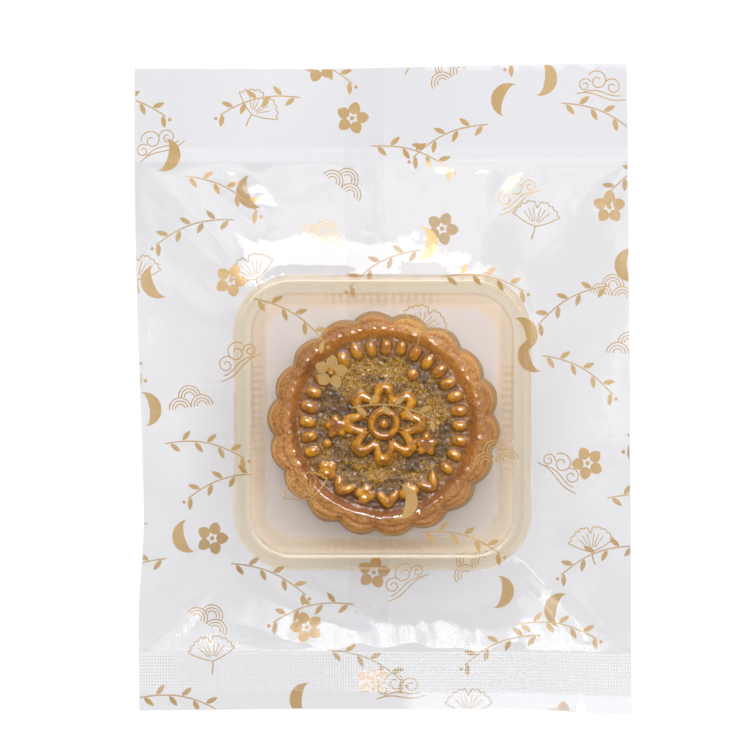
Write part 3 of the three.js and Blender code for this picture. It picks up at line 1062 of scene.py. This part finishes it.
# Rings of points from the underside's middle out, up the side, over the rim, down the inner
# wall and in over the floor: x = u * (1 + oval), y = v * (1 - oval), each ring shifted
def makeCake(look):
    def uneven(key, x, y):
        height, *draw = crumb[key]
        return height * waves(x, y, *draw)

    angle = np.linspace(0, 2 * np.pi, cake["aroundSteps"], endpoint=False)
    foot, top = scallops(angle, *cake["foot"]), scallops(angle, *cake["top"])
    lobe = (top - cake["top"][1]) / (cake["top"][0] - cake["top"][1])
    off = (angle - np.radians(cake["bulge"]["turn"]) + np.pi) % (2 * np.pi) - np.pi
    bulge = hump(off / np.radians(cake["bulge"]["reach"]))
    rim = cake["rim"] + cake["bulge"]["rim"] * bulge
    wall = cake["innerWall"] + cake["bulge"]["wall"] * bulge
    radii, heights, shifts = [], [], []
    shoulderShift, topShift = np.array(cake["shoulderShift"]), np.array(cake["topShift"])

    def swollen(key, t):
        amount, middle, reach = cake[key]
        return amount * hump((t - middle) / reach)

    # where a stretch's rings lie on the way from 0 to 1, its start left out
    def onward(key):
        return np.linspace(0, 1, cake[key] + 1)[1:]

    def ring(radius, height, shift, oval=0.0):
        radii.append(radius + 0 * angle)
        heights.append(height + 0 * angle)
        shifts.append([*shift, oval * cake["oval"]])

    # underside, then the side from a rounded lower edge up to the shoulder
    for share in cake["footRings"]:
        ring(foot * share, cake["bottom"], (0, 0), 1)
    rise = cake["shoulder"] - cake["bottom"]
    for t in np.linspace(0, 1, cake["sideRows"]):
        radius = mix(foot, top, ease(*cake["widening"], t)) + swollen("swell", t)
        radius = radius - cake["tuck"][0] * (1 - ease(*cake["tuck"][1:], t))
        ring(radius, cake["bottom"] + rise * t, shoulderShift * t, 1)
    # over the shoulder to the rim's crest, and down the inner wall
    shoulderRow = len(radii)
    for t in onward("shoulderRows"):
        curve = np.sin(t * np.pi / 2) ** cake["shoulderRise"]
        puff = lobe * swollen("puff", t) - swollen("groove", t)
        height = mix(cake["shoulder"], cake["rimHeight"], curve) + puff
        inward = mix(top, rim, t ** cake["shoulderRun"])
        ring(inward, height, mix(shoulderShift, topShift, t), 1 - t)
    crestRow = len(radii) - 1
    for t in onward("wallRows"):
        height = mix(cake["rimHeight"], cake["floor"], ease(0.05, 1.0, t))
        ring(mix(rim, wall, t), height, topShift)
    wallRows = len(radii)
    for share in np.linspace(1, 0, cake["floorRows"] + 2)[1:-1]:
        ring(wall * share, cake["floor"], topShift)
    radii, heights, shifts = np.array(radii), np.array(heights), np.array(shifts)
    rows = len(radii)
    rowIndex = np.arange(rows)[:, None]
    u, v = radii * np.sin(angle), radii * np.cos(angle)
    # the crust is uneven in the large and in the small
    wobble = uneven("lumps", u, v + heights) + uneven("bumps", u, v + 2 * heights)
    outer = band(3, 8, crestRow, wallRows, rowIndex)
    grow = 1 + wobble * outer / cake["evenRadius"]
    raised = np.where(rowIndex >= wallRows, ornaments(u, v), 0)
    burnt = 0
    for star in stars:
        burnt = burnt + 1 - ease(1.0, 2.0, np.hypot(u - star["at"][0], v - star["at"][1]))
    floorShare = ease(crestRow + 8, wallRows + 3, rowIndex) + 0 * u
    bare = np.clip(1 - raised / 0.5, 0, 1)
    mottle = uneven("floor", u, v) + uneven("floorGrit", u, v)
    z = heights + raised * (1 + uneven("ornaments", u, v))
    z = z + np.where(rowIndex >= wallRows - 6, mottle * bare * floorShare, 0.07 * wobble * outer)
    onRim = band(shoulderRow + 8, crestRow, wallRows - 4, wallRows + 4, rowIndex)
    z = z + onRim * (uneven("rimGrit", u, v) + uneven("rim", u, v))
    x = cake["centre"][0] + u * grow * (1 + shifts[:, 2:]) + shifts[:, :1]
    y = cake["centre"][1] + v * grow * (1 - shifts[:, 2:]) + shifts[:, 1:2]
    points = np.stack([x, y, z], axis=-1).reshape(-1, 3)
    lowPole = [*cake["centre"], cake["bottom"]]
    poles = np.array([lowPole, [x[-1].mean(), y[-1].mean(), z[-1].mean()]])
    columns = len(angle)
    # angles run clockwise, so the grid's faces are turned round to point outwards
    faces = gridFaces(rows, columns, closeColumns=True)[:, ::-1]
    low = fan(0, columns, len(points))
    high = fan((rows - 1) * columns, columns, len(points) + 1, turned=True)
    innerRows = band(crestRow - 1, crestRow + 4, wallRows - 2, wallRows + 8, rowIndex)
    fromMiddle = np.hypot(u, v)
    scorched = np.maximum(ease(12.5, 18, -v - 0.1 * u), 0.9 * hump(np.hypot(u + 9, v - 2) / 9))
    # a toasted patch where the rim bulges, and painted shade growing towards the right and the
    # lower side
    toastedAndShaded = np.maximum(hump(off / np.radians(80)), 0.8 * ease(-16, 22, 0.8 * u - v))
    inGroove = hump((rowIndex - shoulderRow - 11) / 2.4)
    # where each tone lies, by the ring and by the place on the cake
    shares = {
        "floorShare": floorShare,
        "wallShare": innerRows + 0 * u,
        "slopeShare": hump((rowIndex - crestRow - 4) / 6) + 0 * u,
        "crestShare": hump((rowIndex - crestRow) / 2.6) + 0 * u,
        # painted highlight along the shoulder's outer edge
        "edgeHighlightShare": hump((rowIndex - shoulderRow - 1) / 2) + 0 * u,
        # painted shade in the valleys between the lobes
        "valleyShadeShare": (1 - lobe) ** 3 * hump((rowIndex - shoulderRow - 3) / 8),
        # painted shade in the shoulder's groove, stronger to the south and west
        "grooveShadeShare": inGroove * mix(0.45, 1.0, ease(-8, 10, -v - 0.4 * u)),
        "ledgeShare": floorShare * ease(15.4, 18.8, fromMiddle),
        "aroundShare": angle * cake["innerWall"] + 0 * u,
        "goldShare": sum(hump(np.hypot(u - x, v - y) / size) for x, y, size in cake["golden"]),
        "raisedShare": np.clip(raised / 1.3, 0, 1),
        "footShare": (1 - ease(8.0, 11.0, z)) + 0 * u,
        # painted highlight along the foot's bulge
        "footEdgeHighlightShare": 0.6 * hump((z - 4.2) / 1.6) + 0 * u,
        "burntShare": np.clip(burnt, 0, 1),
        "scorchShare": scorched * floorShare,
        # painted light and shade by side: the south share darkens the inner wall, the north share
        # lightens it
        "southPaintedLightShare": ease(4, 16, -v),
        "glossShare": ease(1, 13, -v - 0.35 * u) + 0 * u,
        "northPaintedLightShare": ease(8, 20, v + 0.35 * u) + 0 * u,
        "toastAndShadeShare": toastedAndShaded + 0 * u,
    }
    for key, value in shares.items():
        shares[key] = np.append(value.ravel(), [0, value.ravel()[-1]])
    return putMesh("cake", np.concatenate([points, poles]), [faces, low, high], look, shares)


crust = {
    # size in millimetres, detail, roughness, distortion, and the values that become 0 and 1
    "noises": {
        "blotch": (6.5, 4.0, 0.6, 0.6, 0.35, 0.65),
        "grain": (0.55, 4.0, 0.75, 0.0, 0.38, 0.62),
        "freckle": (1.4, 3.0, 0.7, 0.0, 0.52, 0.64),
        "patch": (5.0, 3.0, 0.6, 0.8, 0.44, 0.58),
        "granule": (0.42, 3.0, 0.7, 0.2, 0.4, 0.6),
        "blush": (2.4, 3.0, 0.6, 0.0, 0.4, 0.6),
        "spots": (0.9, 2.0, 0.5, 0.0, 0.57, 0.66),
        "dullness": (2.6, 3.0, 0.5, 0.0, 0.35, 0.65),
    },
    "outside": [
        ("blotch", (170, 98, 24), (210, 144, 58)),
        ("grain", 0.55, (238, 184, 108)),
        ("freckle", 0.5, (138, 74, 24)),
        # toasted crust, with painted shade towards the right and the lower side
        ("toastAndShadeShare", 0.62, (130, 74, 28)),
        # painted shade in the lobes' valleys
        ("valleyShadeShare", 0.6, (124, 66, 22)),
        # painted shade along the shoulder's groove
        ("grooveShadeShare", 0.35, (132, 76, 36)),
        # painted highlight along the shoulder's edge
        ("edgeHighlightShare", 0.42, (238, 196, 130)),
    ],
    "innerWall": [
        ("blotch", (116, 54, 6), (174, 100, 28)),
        # painted light: the inner wall's north side lighter
        ("northPaintedLightShare", 0.66, (226, 152, 62)),
        ("grain", 0.4, (206, 142, 64)),
        ("freckle", 0.35, (122, 62, 18)),
        # painted shade: its south side darker
        ("southPaintedLightShare", 0.5, (120, 64, 14)),
    ],
    "innerCover": 0.9,
    # the foot's duller tone, and a painted highlight along its bulge
    "foot": [("footShare", 0.95, (168, 136, 98)), ("footEdgeHighlightShare", 1.0, (214, 188, 154))],
    # the floor: dark and mauve brown, full of fine grains that are golden in places, and
    # smoother and paler towards the wall
    "floor": [("patch", (40, 22, 2), (98, 64, 22)), ("gilt", 0.5, (104, 66, 4))],
    "grains": [("patch", (136, 94, 36), (182, 138, 66)), ("gilt", 1.0, (224, 168, 44))],
    "grainCover": 0.75,
    "ledge": [("grain", (112, 66, 22), (172, 116, 52))],
    "ledgeCover": 0.8,
    "scorch": [("scorchShare", 0.65, (66, 40, 24))],
    "moulded": [
        ("blush", (140, 76, 0), (210, 142, 8)),
        ("grain", 0.35, (226, 164, 40)),
        # painted light: the ornaments' lower slopes are lighter, for light glowing through thin
        # amber
        ("low", 0.5, (212, 140, 22)),
        ("burntShare", 0.75, (134, 66, 0)),
    ],
    "ornamentFootShade": [("ornamentFootShade", 0.55, (92, 50, 14))],  # painted shade: a dark line round the foot of each ornament
    "specular": 0.05,
    "oilRoughness": 0.035,
}


# Baked crust: golden brown and fine-grained outside, a redder inner wall, a dark floor full
# of golden granules, and glossy amber ornaments; painted shade and highlights are laid in
# on the crust's sides, in its valleys and groove, on the inner wall and round the ornaments
def crustLook():
    look, tree = newLook("bakedCrust")
    floorShare = attributeShare(tree, "floorShare")
    wallShare = attributeShare(tree, "wallShare")
    raised = attributeShare(tree, "raisedShare")
    shares = noises(tree, crust["noises"])
    gold = times(tree, attributeShare(tree, "goldShare"), 0.22)
    gold = combine(tree, "ADD", speckle(tree, 3.4, 3.0, 0.6, 1.0), gold)
    shares["gilt"] = remap(tree, gold, 0.48, 0.66)
    # painted light: lighter towards each ornament's foot
    shares["low"] = remap(tree, raised, 0.9, 0.45)
    foothill = remap(tree, raised, 0.0, 0.1)
    # painted shade round the foot of each ornament
    shares["ornamentFootShade"] = times(tree, foothill, remap(tree, raised, 0.4, 0.12))
    lifted = remap(tree, raised, 0.12, 0.5)
    inner = layered(tree, shares, crust["innerWall"])
    outside = layered(tree, shares, crust["outside"])
    outside = blendColours(tree, times(tree, wallShare, crust["innerCover"]), outside, inner)
    outside = layered(tree, shares, crust["foot"], outside)
    floor = layered(tree, shares, crust["floor"])
    grains = layered(tree, shares, crust["grains"])
    floor = blendColours(tree, times(tree, shares["granule"], crust["grainCover"]), floor, grains)
    ledgeShare = times(tree, attributeShare(tree, "ledgeShare"), crust["ledgeCover"])
    floor = blendColours(tree, ledgeShare, floor, layered(tree, shares, crust["ledge"]))
    floor = layered(tree, shares, crust["scorch"], floor)
    floor = blendColours(tree, lifted, floor, layered(tree, shares, crust["moulded"]))
    floor = layered(tree, shares, crust["ornamentFootShade"], floor)
    tone = blendColours(tree, floorShare, outside, floor)
    # a fine grain runs through all of it
    fine = remap(tree, speckle(tree, 0.45, 2.0, 0.8), 0.36, 0.64, 0.8, 1.22)
    tone = blendColours(tree, 1.0, tone, fine, "MULTIPLY")
    normal = bump(tree, speckle(tree, 0.6, 4.0, 0.7), 0.35, 0.8)
    normal = bump(tree, speckle(tree, 2.2, 3.0, 0.55), 0.7, 0.7, below=normal)
    # oil: smooth on the crest and the ornaments, glittering on the floor, and on the inner
    # wall in fine ridges that run down it
    around = addNode(tree, "CombineXYZ", {0: attributeShare(tree, "aroundShare")}).outputs[0]
    ridge = addNode(tree, "TexNoise", {"Vector": around, "Scale": 2.2, "Detail": 2.0})
    ridge = ridge.outputs["Fac"]
    bare = times(tree, floorShare, remap(tree, lifted, 0.0, 1.0, 1.0, 0.0))
    glitter = times(tree, speckle(tree, 0.7, 2.0), remap(tree, bare, 0.0, 1.0, 0.05, 1.0))
    oilNormal = bump(tree, glitter, 0.45)
    oilNormal = bump(tree, times(tree, ridge, wallShare), 0.14, 1.0, below=oilNormal)
    oiled = larger(tree, attributeShare(tree, "crestShare"), lifted)
    oiled = larger(tree, oiled, times(tree, wallShare, 0.45))
    fewer = remap(tree, ledgeShare, 0.0, 0.8, 1.0, 0.4)
    spots = times(tree, times(tree, shares["spots"], fewer), bare)
    coat = remap(tree, larger(tree, oiled, spots), 0.0, 1.0, 0.01, 0.25)
    sheen = times(tree, attributeShare(tree, "slopeShare"), attributeShare(tree, "glossShare"))
    sheen = times(tree, sheen, remap(tree, ridge, 0.45, 0.58, 0.1, 1.0))
    values = {
        "Base Color": tone,
        "Roughness": remap(tree, shares["dullness"], 0.0, 1.0, 0.42, 0.62),
        "Normal": normal,
        "Specular IOR Level": crust["specular"],
        "Coat Weight": larger(tree, coat, sheen),
        "Coat Roughness": crust["oilRoughness"],
        "Coat Normal": oilNormal,
    }
    finishLook(tree, addNode(tree, "BsdfPrincipled", values))
    return look


inkwork = {
    "solid": 8.2,  # across a solid motif
    "fine": 0.28,  # line width of the outline motifs
    "stroke": 0.62,  # half width of a sprig's leaves
    "sprig": 20,  # length of a sprig's arc
    "pitchX": 46,
    "pitchY": 31,
    "under": 0.05,  # the ink lies this far inside the sheet
    "gold": (190, 150, 86),
    "paleGold": (208, 170, 104),
    "wornGold": (222, 190, 130),
    "cream": [(255, 250, 244), (244, 206, 160)],
    "brick": 0.42,  # every other row is shifted by this share of pitchX
    "drift": (3, 9),  # and each row and column by this
    # each kind's place beside the solid motif, and the range it is turned by in degrees
    "solids": ((0, 0), (-25, 25)),
    "sprigs": ((15, -8), (-32, -8)),
    "outlines": ((23, 12), (-40, 40)),
    # each sheet: seed, shift, and how close to the tray's middle it carries no motif
    "front": (5, -13, 4, 0),
    "back": (6, 9, 17, 33),
    "markX": (-6.4, 0.5),
    "markY": (-74.2, -68.8),
    "markCells": 20,
    "border": 0.15,  # the print keeps this far from the pouch's edge
}


# Ribbon: a path's points carried half a line's width to each side along the path's normal
def ribbon(px, py, width):
    dx, dy = np.gradient(px), np.gradient(py)
    size = np.hypot(dx, dy) + 1e-9
    half = np.asarray(width) / 2
    left = np.stack([px - dy / size * half, py + dx / size * half], axis=-1)
    right = np.stack([px + dy / size * half, py - dx / size * half], axis=-1)
    points = np.stack([right, left], axis=0).transpose(1, 0, 2).reshape(-1, 2)
    return points, gridFaces(len(px), 2)


# Leaf or petal along +Y from start to end: half width is fat * sin(pi t^skew)^blunt
def leafShape(start, end, fat, skew=1.0, blunt=0.8, rows=11, columns=7):
    t, s = np.meshgrid(np.linspace(0, 1, rows), np.linspace(-1, 1, columns), indexing="ij")
    half = fat * np.sin(np.pi * np.clip(t**skew, 0.0, 0.9999)) ** blunt
    points = np.stack([s * half, mix(start, end, t)], axis=-1).reshape(-1, 2)
    return points, gridFaces(rows, columns)


# Turns points anticlockwise by degrees, then shifts them
def placed(shape, degrees=0.0, shift=(0.0, 0.0)):
    points, faces = shape
    turn = math.radians(degrees)
    spin = np.array([[math.cos(turn), math.sin(turn)], [-math.sin(turn), math.cos(turn)]])
    return points @ spin + np.array(shift), faces


# Round dot: rings of points at radius * (0.02 to 1)
def discShape(radius, rings=3, columns=20):
    reach = radius * np.linspace(0.02, 1, rings + 1)[:, None]
    turn = np.linspace(0, 2 * np.pi, columns + 1)
    points = np.stack([reach * np.cos(turn), reach * np.sin(turn)], axis=-1).reshape(-1, 2)
    return points, gridFaces(rings + 1, columns + 1)[:, ::-1]


# Five petals round a dot
def blossom():
    half = inkwork["solid"] / 2
    shapes = [placed(leafShape(0.95, half, 1.42, 0.82, 0.62), 72 * k) for k in range(5)]
    return shapes + [discShape(0.55)]


# Crescent: between an outer arc and a shallower inner one that share their tips
def crescent():
    half = inkwork["solid"] / 2
    t, s = np.meshgrid(np.linspace(-1, 1, 25), np.linspace(0, 1, 6), indexing="ij")
    tip = np.radians(128)
    outer = np.stack([half * np.cos(t * tip), half * np.sin(t * tip)], axis=-1)
    innerX = mix(half * np.cos(tip), 1.1, 1 - t**2)
    inner = np.stack([innerX, outer[..., 1] * 0.985], axis=-1)
    points = mix(inner, outer, s[..., None]).reshape(-1, 2)
    return [(points, gridFaces(25, 6)[:, ::-1])]


# Leaves along a thin stalk bent like a flat cosine, to either side by turns, and a dot beyond
# its end
def sprig():
    t = np.linspace(-0.5, 0.5, 30)
    stalk = ribbon(t * inkwork["sprig"], 3.2 * np.cos(2.4 * t) - 3.2, 0.32)
    shapes = [stalk, placed(discShape(0.45, 1, 12), 0, (inkwork["sprig"] * 0.56, -2.6))]
    for k in range(7):
        t = k / 6.6 - 0.45
        at = (t * inkwork["sprig"], 3.2 * math.cos(2.4 * t) - 3.2)
        tilt = -90 - math.degrees(0.75 * t) + (48 if k % 2 else -48)
        shapes.append(placed(leafShape(0.3, 3.4, inkwork["stroke"], 0.9, 0.8, 10, 5), tilt, at))
    return shapes


# Fan leaf in outline: an arc with a notch and small waves, reach * (cos turn, sin turn), two
# bowed sides that meet below it, a curved stalk and straight veins
def fanLeaf():
    width = inkwork["fine"]
    t = np.linspace(0, 1, 60)
    turn = np.radians(mix(25.0, 155.0, t))
    reach = 6.2 - 1.5 * np.exp(-(((t - 0.5) / 0.05) ** 2)) + 0.22 * np.cos(t * 2 * np.pi * 9)
    edgeX, edgeY = reach * np.cos(turn), reach * np.sin(turn) - 2.5
    shapes = [ribbon(edgeX, edgeY, width)]
    for end in (0, -1):
        s = np.linspace(0, 1, 14)
        bow = 0.5 * np.sin(np.pi * s) * (1 if end else -1)
        sideY = mix(-2.5, edgeY[end], s) - abs(bow) * 0.9
        shapes.append(ribbon(edgeX[end] * s + bow * 0.4, sideY, width))
    s = np.linspace(0, 1, 12)
    shapes.append(ribbon(0.6 * s**2, -2.5 - 3.2 * s, width * 1.2))
    for degrees in (48, 64, 79, 101, 116, 132):
        s = np.linspace(0.22, 0.84, 12)
        veinX = 5.6 * s * math.cos(math.radians(degrees))
        veinY = 5.6 * s * math.sin(math.radians(degrees)) - 2.5
        shapes.append(ribbon(veinX, veinY, width * 0.8))
    return shapes


# Cloud scroll in outline: three spirals, whose reach shrinks evenly as they turn, over two
# long waved lines
def cloudScroll():
    width = inkwork["fine"]
    shapes = []
    for x, y, size, hand in ((-2.6, 0.2, 2.1, 1), (1.2, 1.2, 2.6, 1), (4.2, -0.2, 1.7, -1)):
        t = np.linspace(0, 1, 46)
        turn = 2 * np.pi * 1.35 * t * hand + (0.4 if hand > 0 else 2.6)
        reach = size * (1 - 0.8 * t)
        shapes.append(ribbon(x + reach * np.cos(turn), y + reach * np.sin(turn), width))
    t = np.linspace(0, 1, 40)
    shapes.append(ribbon(mix(-6.0, 6.0, t), -2.4 - 0.5 * np.sin(t * 2 * np.pi), width))
    shapes.append(ribbon(mix(-4.6, 4.2, t), -1.5 - 0.35 * np.sin(t * 2 * np.pi + 0.6), width))
    return shapes


# Ripples in outline: three nests of arcs, one above two
def ripples():
    shapes = []
    t = np.linspace(0, 1, 26)
    for x, y in ((-2.7, -2.6), (2.7, -2.6), (0.0, 0.0)):
        for reach in (2.65, 1.9, 1.15):
            arcX, arcY = x + reach * np.cos(np.pi * t), y + reach * np.sin(np.pi * t)
            shapes.append(ribbon(arcX, arcY, inkwork["fine"]))
    return shapes


# The motifs in a drifting brick pattern: solid ones with a sprig beside them, and outlines
# between, each turned a little
def layout(seed, shiftX, shiftY, bare):
    draw = np.random.default_rng(seed)
    made = []

    def put(shapes, kind, x, y):
        (besideX, besideY), turns = inkwork[kind]
        turn, x, y = draw.uniform(*turns), x + besideX, y + besideY
        if max(abs(x), abs(y - trayForm["centreY"])) > bare:
            made.extend(placed(shape, turn, (x, y)) for shape in shapes)

    solids, outlines = [blossom, crescent], [fanLeaf, cloudScroll, ripples]
    driftX, driftY = inkwork["drift"]
    for row in range(-4, 5):
        for column in range(-3, 4):
            x = (column + (row % 2) * inkwork["brick"]) * inkwork["pitchX"] + shiftX + row * driftX
            y = row * inkwork["pitchY"] + column * driftY + shiftY
            put(solids[(row + column) % 2](), "solids", x, y)
            put(sprig(), "sprigs", x, y)
            put(outlines[(row + 2 * column) % 3](), "outlines", x, y)
    return made


# Lays flat shapes on a sheet, each point at the sheet's height there; points beyond the pouch
# are drawn in to its border, and what has no area left is dropped
def layInk(name, shapes, sheet, look, mirror):
    points, faces, start = [], [], 0
    for shape, quads in shapes:
        points.append(shape)
        faces.append(quads + start)
        start += len(shape)
    xy, quads = np.concatenate(points), np.concatenate(faces)
    x, y = (-xy[:, 0] if mirror else xy[:, 0]), xy[:, 1]
    if mirror:
        quads = quads[:, ::-1]
    farX, farY = halfWidth - inkwork["border"], halfLength - inkwork["border"]
    x, y = np.clip(x, -farX, farX), np.clip(y, -farY, farY)
    corner = np.stack([x[quads], y[quads]], axis=-1)
    cross = 0
    for k in range(4):
        a, b = corner[:, k], corner[:, (k + 1) % 4]
        cross = cross + a[:, 0] * b[:, 1] - a[:, 1] * b[:, 0]
    quads = quads[np.abs(cross) > 1e-3]
    used, inverse = np.unique(quads, return_inverse=True)
    flat = y[used]
    x, y = spread(x[used], flat)
    points = np.stack([x, y, sheet(x, flat)], axis=-1)
    return putMesh(name, points, [inverse.reshape(-1, 4)], look)


# Gold ink: half metallic, fine-grained, worn paler in places
def goldLook():
    look, tree = newLook("goldInk")
    grain = remap(tree, speckle(tree, 0.35, 2.0, 0.6), 0.3, 0.7)
    wearAndGlare = remap(tree, speckle(tree, 6.0, 3.0), 0.35, 0.65)
    tone = blendColours(tree, grain, paint(*inkwork["gold"]), paint(*inkwork["paleGold"]))
    tone = blendColours(tree, times(tree, wearAndGlare, 0.3), tone, paint(*inkwork["wornGold"]))
    rough = remap(tree, grain, 0.0, 1.0, 0.38, 0.55)
    values = {"Base Color": tone, "Metallic": 0.35, "Roughness": rough, "Alpha": 0.93}
    finishLook(tree, addNode(tree, "BsdfPrincipled", values))
    return look


# Cream ink of the register mark, worn off where the crimping presses on it
def creamLook():
    look, tree = newLook("creamInk")
    dots = remap(tree, speckle(tree, 0.9, 2.0), 0.42, 0.58)
    tone = blendColours(tree, dots, *(paint(*colour) for colour in inkwork["cream"]))
    cover = remap(tree, dots, 0.0, 1.0, 0.75, 0.9)
    values = {"Base Color": tone, "Roughness": 0.5, "Alpha": cover}
    finishLook(tree, addNode(tree, "BsdfPrincipled", values))
    return look


# The print under the upper sheet and over the lower one, and the mark in the crimped seal
def makePrint(look, markLook):
    def onTop(x, y):
        return topSheet(x, y) - inkwork["under"]

    def onBottom(x, y):
        return bottomSheet(x, y) + inkwork["under"]

    def inSeal(x, y):
        return edgeHeight(x, y) + knurl["height"] * embossing(x, y)

    front = layInk("printFront", layout(*inkwork["front"]), onTop, look, False)
    back = layInk("printBack", layout(*inkwork["back"]), onBottom, look, True)
    cells = inkwork["markCells"]
    t, s = np.meshgrid(np.linspace(0, 1, cells), np.linspace(0, 1, cells), indexing="ij")
    mark = np.stack([mix(*inkwork["markX"], s), mix(*inkwork["markY"], t)], axis=-1)
    mark = (mark.reshape(-1, 2), gridFaces(cells, cells))
    return [front, back, layInk("registerMark", [mark], inSeal, markLook, False)]


stage = {
    "floor": 3000,
    "floorTones": [(0.9, 0.9, 0.9, 1), (0.92, 0.92, 0.92, 1)],
    # the room's light by height: sine of the elevation, and how bright
    "room": [(0.0, 0.43), (0.25, 1.06), (0.55, 1.58), (0.87, 1.4), (0.955, 0.17), (1.0, 0.12)],
    "lean": (0.28, 0.62, 0.0),  # how much brighter the room is towards +X and +Y
    "patchScale": 3.2,
    "patchEdge": (0.44, 0.56),
    "patches": (0.5, 1.5),  # brightness of the room's dark and light patches
    "bounces": {
        "transparent_max_bounces": 40,
        "max_bounces": 10,
        "diffuse_bounces": 5,
        "glossy_bounces": 4,
        "transmission_bounces": 8,
    },
}
# Light boxes, as seen from the pouch: azimuth from +X and elevation in degrees, distance,
# width and height in millimetres, radiance, and which pieces mirror it where not all do
boxes = {
    "north": (102, 13.3, 1300, 1300, 430, 6.0, None),
    "south": (-86, 21, 1300, 740, 560, 1.8, "film"),
    "southCore": (-88, 20, 1200, 150, 520, 5.0, "film"),
    "southEast": (-52, 22, 1300, 200, 420, 4.5, "film"),
    "glint": (72, 52, 700, 480, 520, 110.0, "cake"),
}


# An area lamp that faces the middle; its power is radiance * pi * its area
def putBox(name, azimuth, elevation, away, width, height, radiance, receivers):
    light = bpy.data.lights.new(name, "AREA")
    light.shape = "RECTANGLE"
    light.size, light.size_y = width * mm, height * mm
    light.energy = radiance * math.pi * light.size * light.size_y
    turn, rise = math.radians(azimuth), math.radians(elevation)
    holder = bpy.data.objects.new(name, light)
    holder.location = (
        away * mm * math.cos(turn) * math.cos(rise),
        away * mm * math.sin(turn) * math.cos(rise),
        away * mm * math.sin(rise),
    )
    holder.rotation_euler = (math.pi / 2 - rise, 0, turn + math.pi / 2)
    bpy.context.scene.collection.objects.link(holder)
    holder.visible_diffuse = False
    if receivers:
        holder.light_linking.receiver_collection = receivers


# The floor, the room and the light boxes; mirrors names the pieces that a box may be kept to
def setStage(mirrors):
    half = stage["floor"] / 2
    corners = [[-half, -half, 0], [half, -half, 0], [half, half, 0], [-half, half, 0]]
    look, tree = newLook("paleFloor")
    tone = blendColours(tree, speckle(tree, 200), *stage["floorTones"])
    finishLook(tree, addNode(tree, "BsdfDiffuse", {"Color": tone}))
    floor = putMesh("floor", corners, [[[0, 1, 2, 3]]], look, smooth=False)
    world = bpy.data.worlds.new("room")
    world.use_nodes = True
    tree = world.node_tree
    way = addNode(tree, "TexCoord").outputs["Generated"]
    ramp = addNode(tree, "ValToRGB", {0: addNode(tree, "SeparateXYZ", {0: way}).outputs["Z"]})
    stops = ramp.color_ramp.elements
    while len(stops) < len(stage["room"]):
        stops.new(0.5)
    for stop, (height, glow) in zip(stops, stage["room"]):
        stop.position, stop.color = height, (glow, glow, glow, 1)
    lean = addNode(tree, "VectorMath", {0: way, 1: stage["lean"]}, operation="DOT_PRODUCT")
    leaning = combine(tree, "ADD", lean.outputs["Value"], 1.0)
    glow = times(tree, ramp.outputs["Color"], leaning)
    cloud = addNode(tree, "TexNoise", {"Vector": way, "Scale": stage["patchScale"], "Detail": 2.0})
    patches = remap(tree, cloud.outputs["Fac"], *stage["patchEdge"], *stage["patches"])
    tree.links.new(times(tree, glow, patches), tree.nodes["Background"].inputs["Strength"])
    tree.nodes["Background"].inputs["Color"].default_value = (1, 1, 1, 1)
    bpy.context.scene.world = world
    linked = {key: bpy.data.collections.new(key) for key in mirrors}
    for key, pieces in mirrors.items():
        for piece in pieces:
            linked[key].objects.link(piece)
    for name, (*box, mirror) in boxes.items():
        putBox(name, *box, linked.get(mirror))
    scene = bpy.context.scene
    scene.view_settings.view_transform = "Standard"
    for key, count in stage["bounces"].items():
        setattr(scene.cycles, key, count)


setCamera()
print("camera set")
film = makeFilm(filmLook("clearFilm"))
crimpSeal = makeCrimp(filmLook("weldedFilm"))
seam = makeBackSeam(filmLook("seamFilm"))
print("pouch made")
holder = makeTray(trayLook())
pastry = makeCake(crustLook())
print("tray and cake made")
ink = makePrint(goldLook(), creamLook())
print("print laid")
setStage({"film": [film, crimpSeal, seam, *ink], "cake": [pastry]})

slots = {"film": [film, crimpSeal, seam], "tray": [holder], "crust": [pastry], "print": ink}
# what is thin and clear neither shades the rest nor tints its light
for piece in [film, crimpSeal, seam, holder, *ink]:
    piece.visible_shadow = False
    piece.visible_diffuse = False
for slotName, pieces in slots.items():
    for piece in pieces:
        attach(piece, "root")
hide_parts("bag")
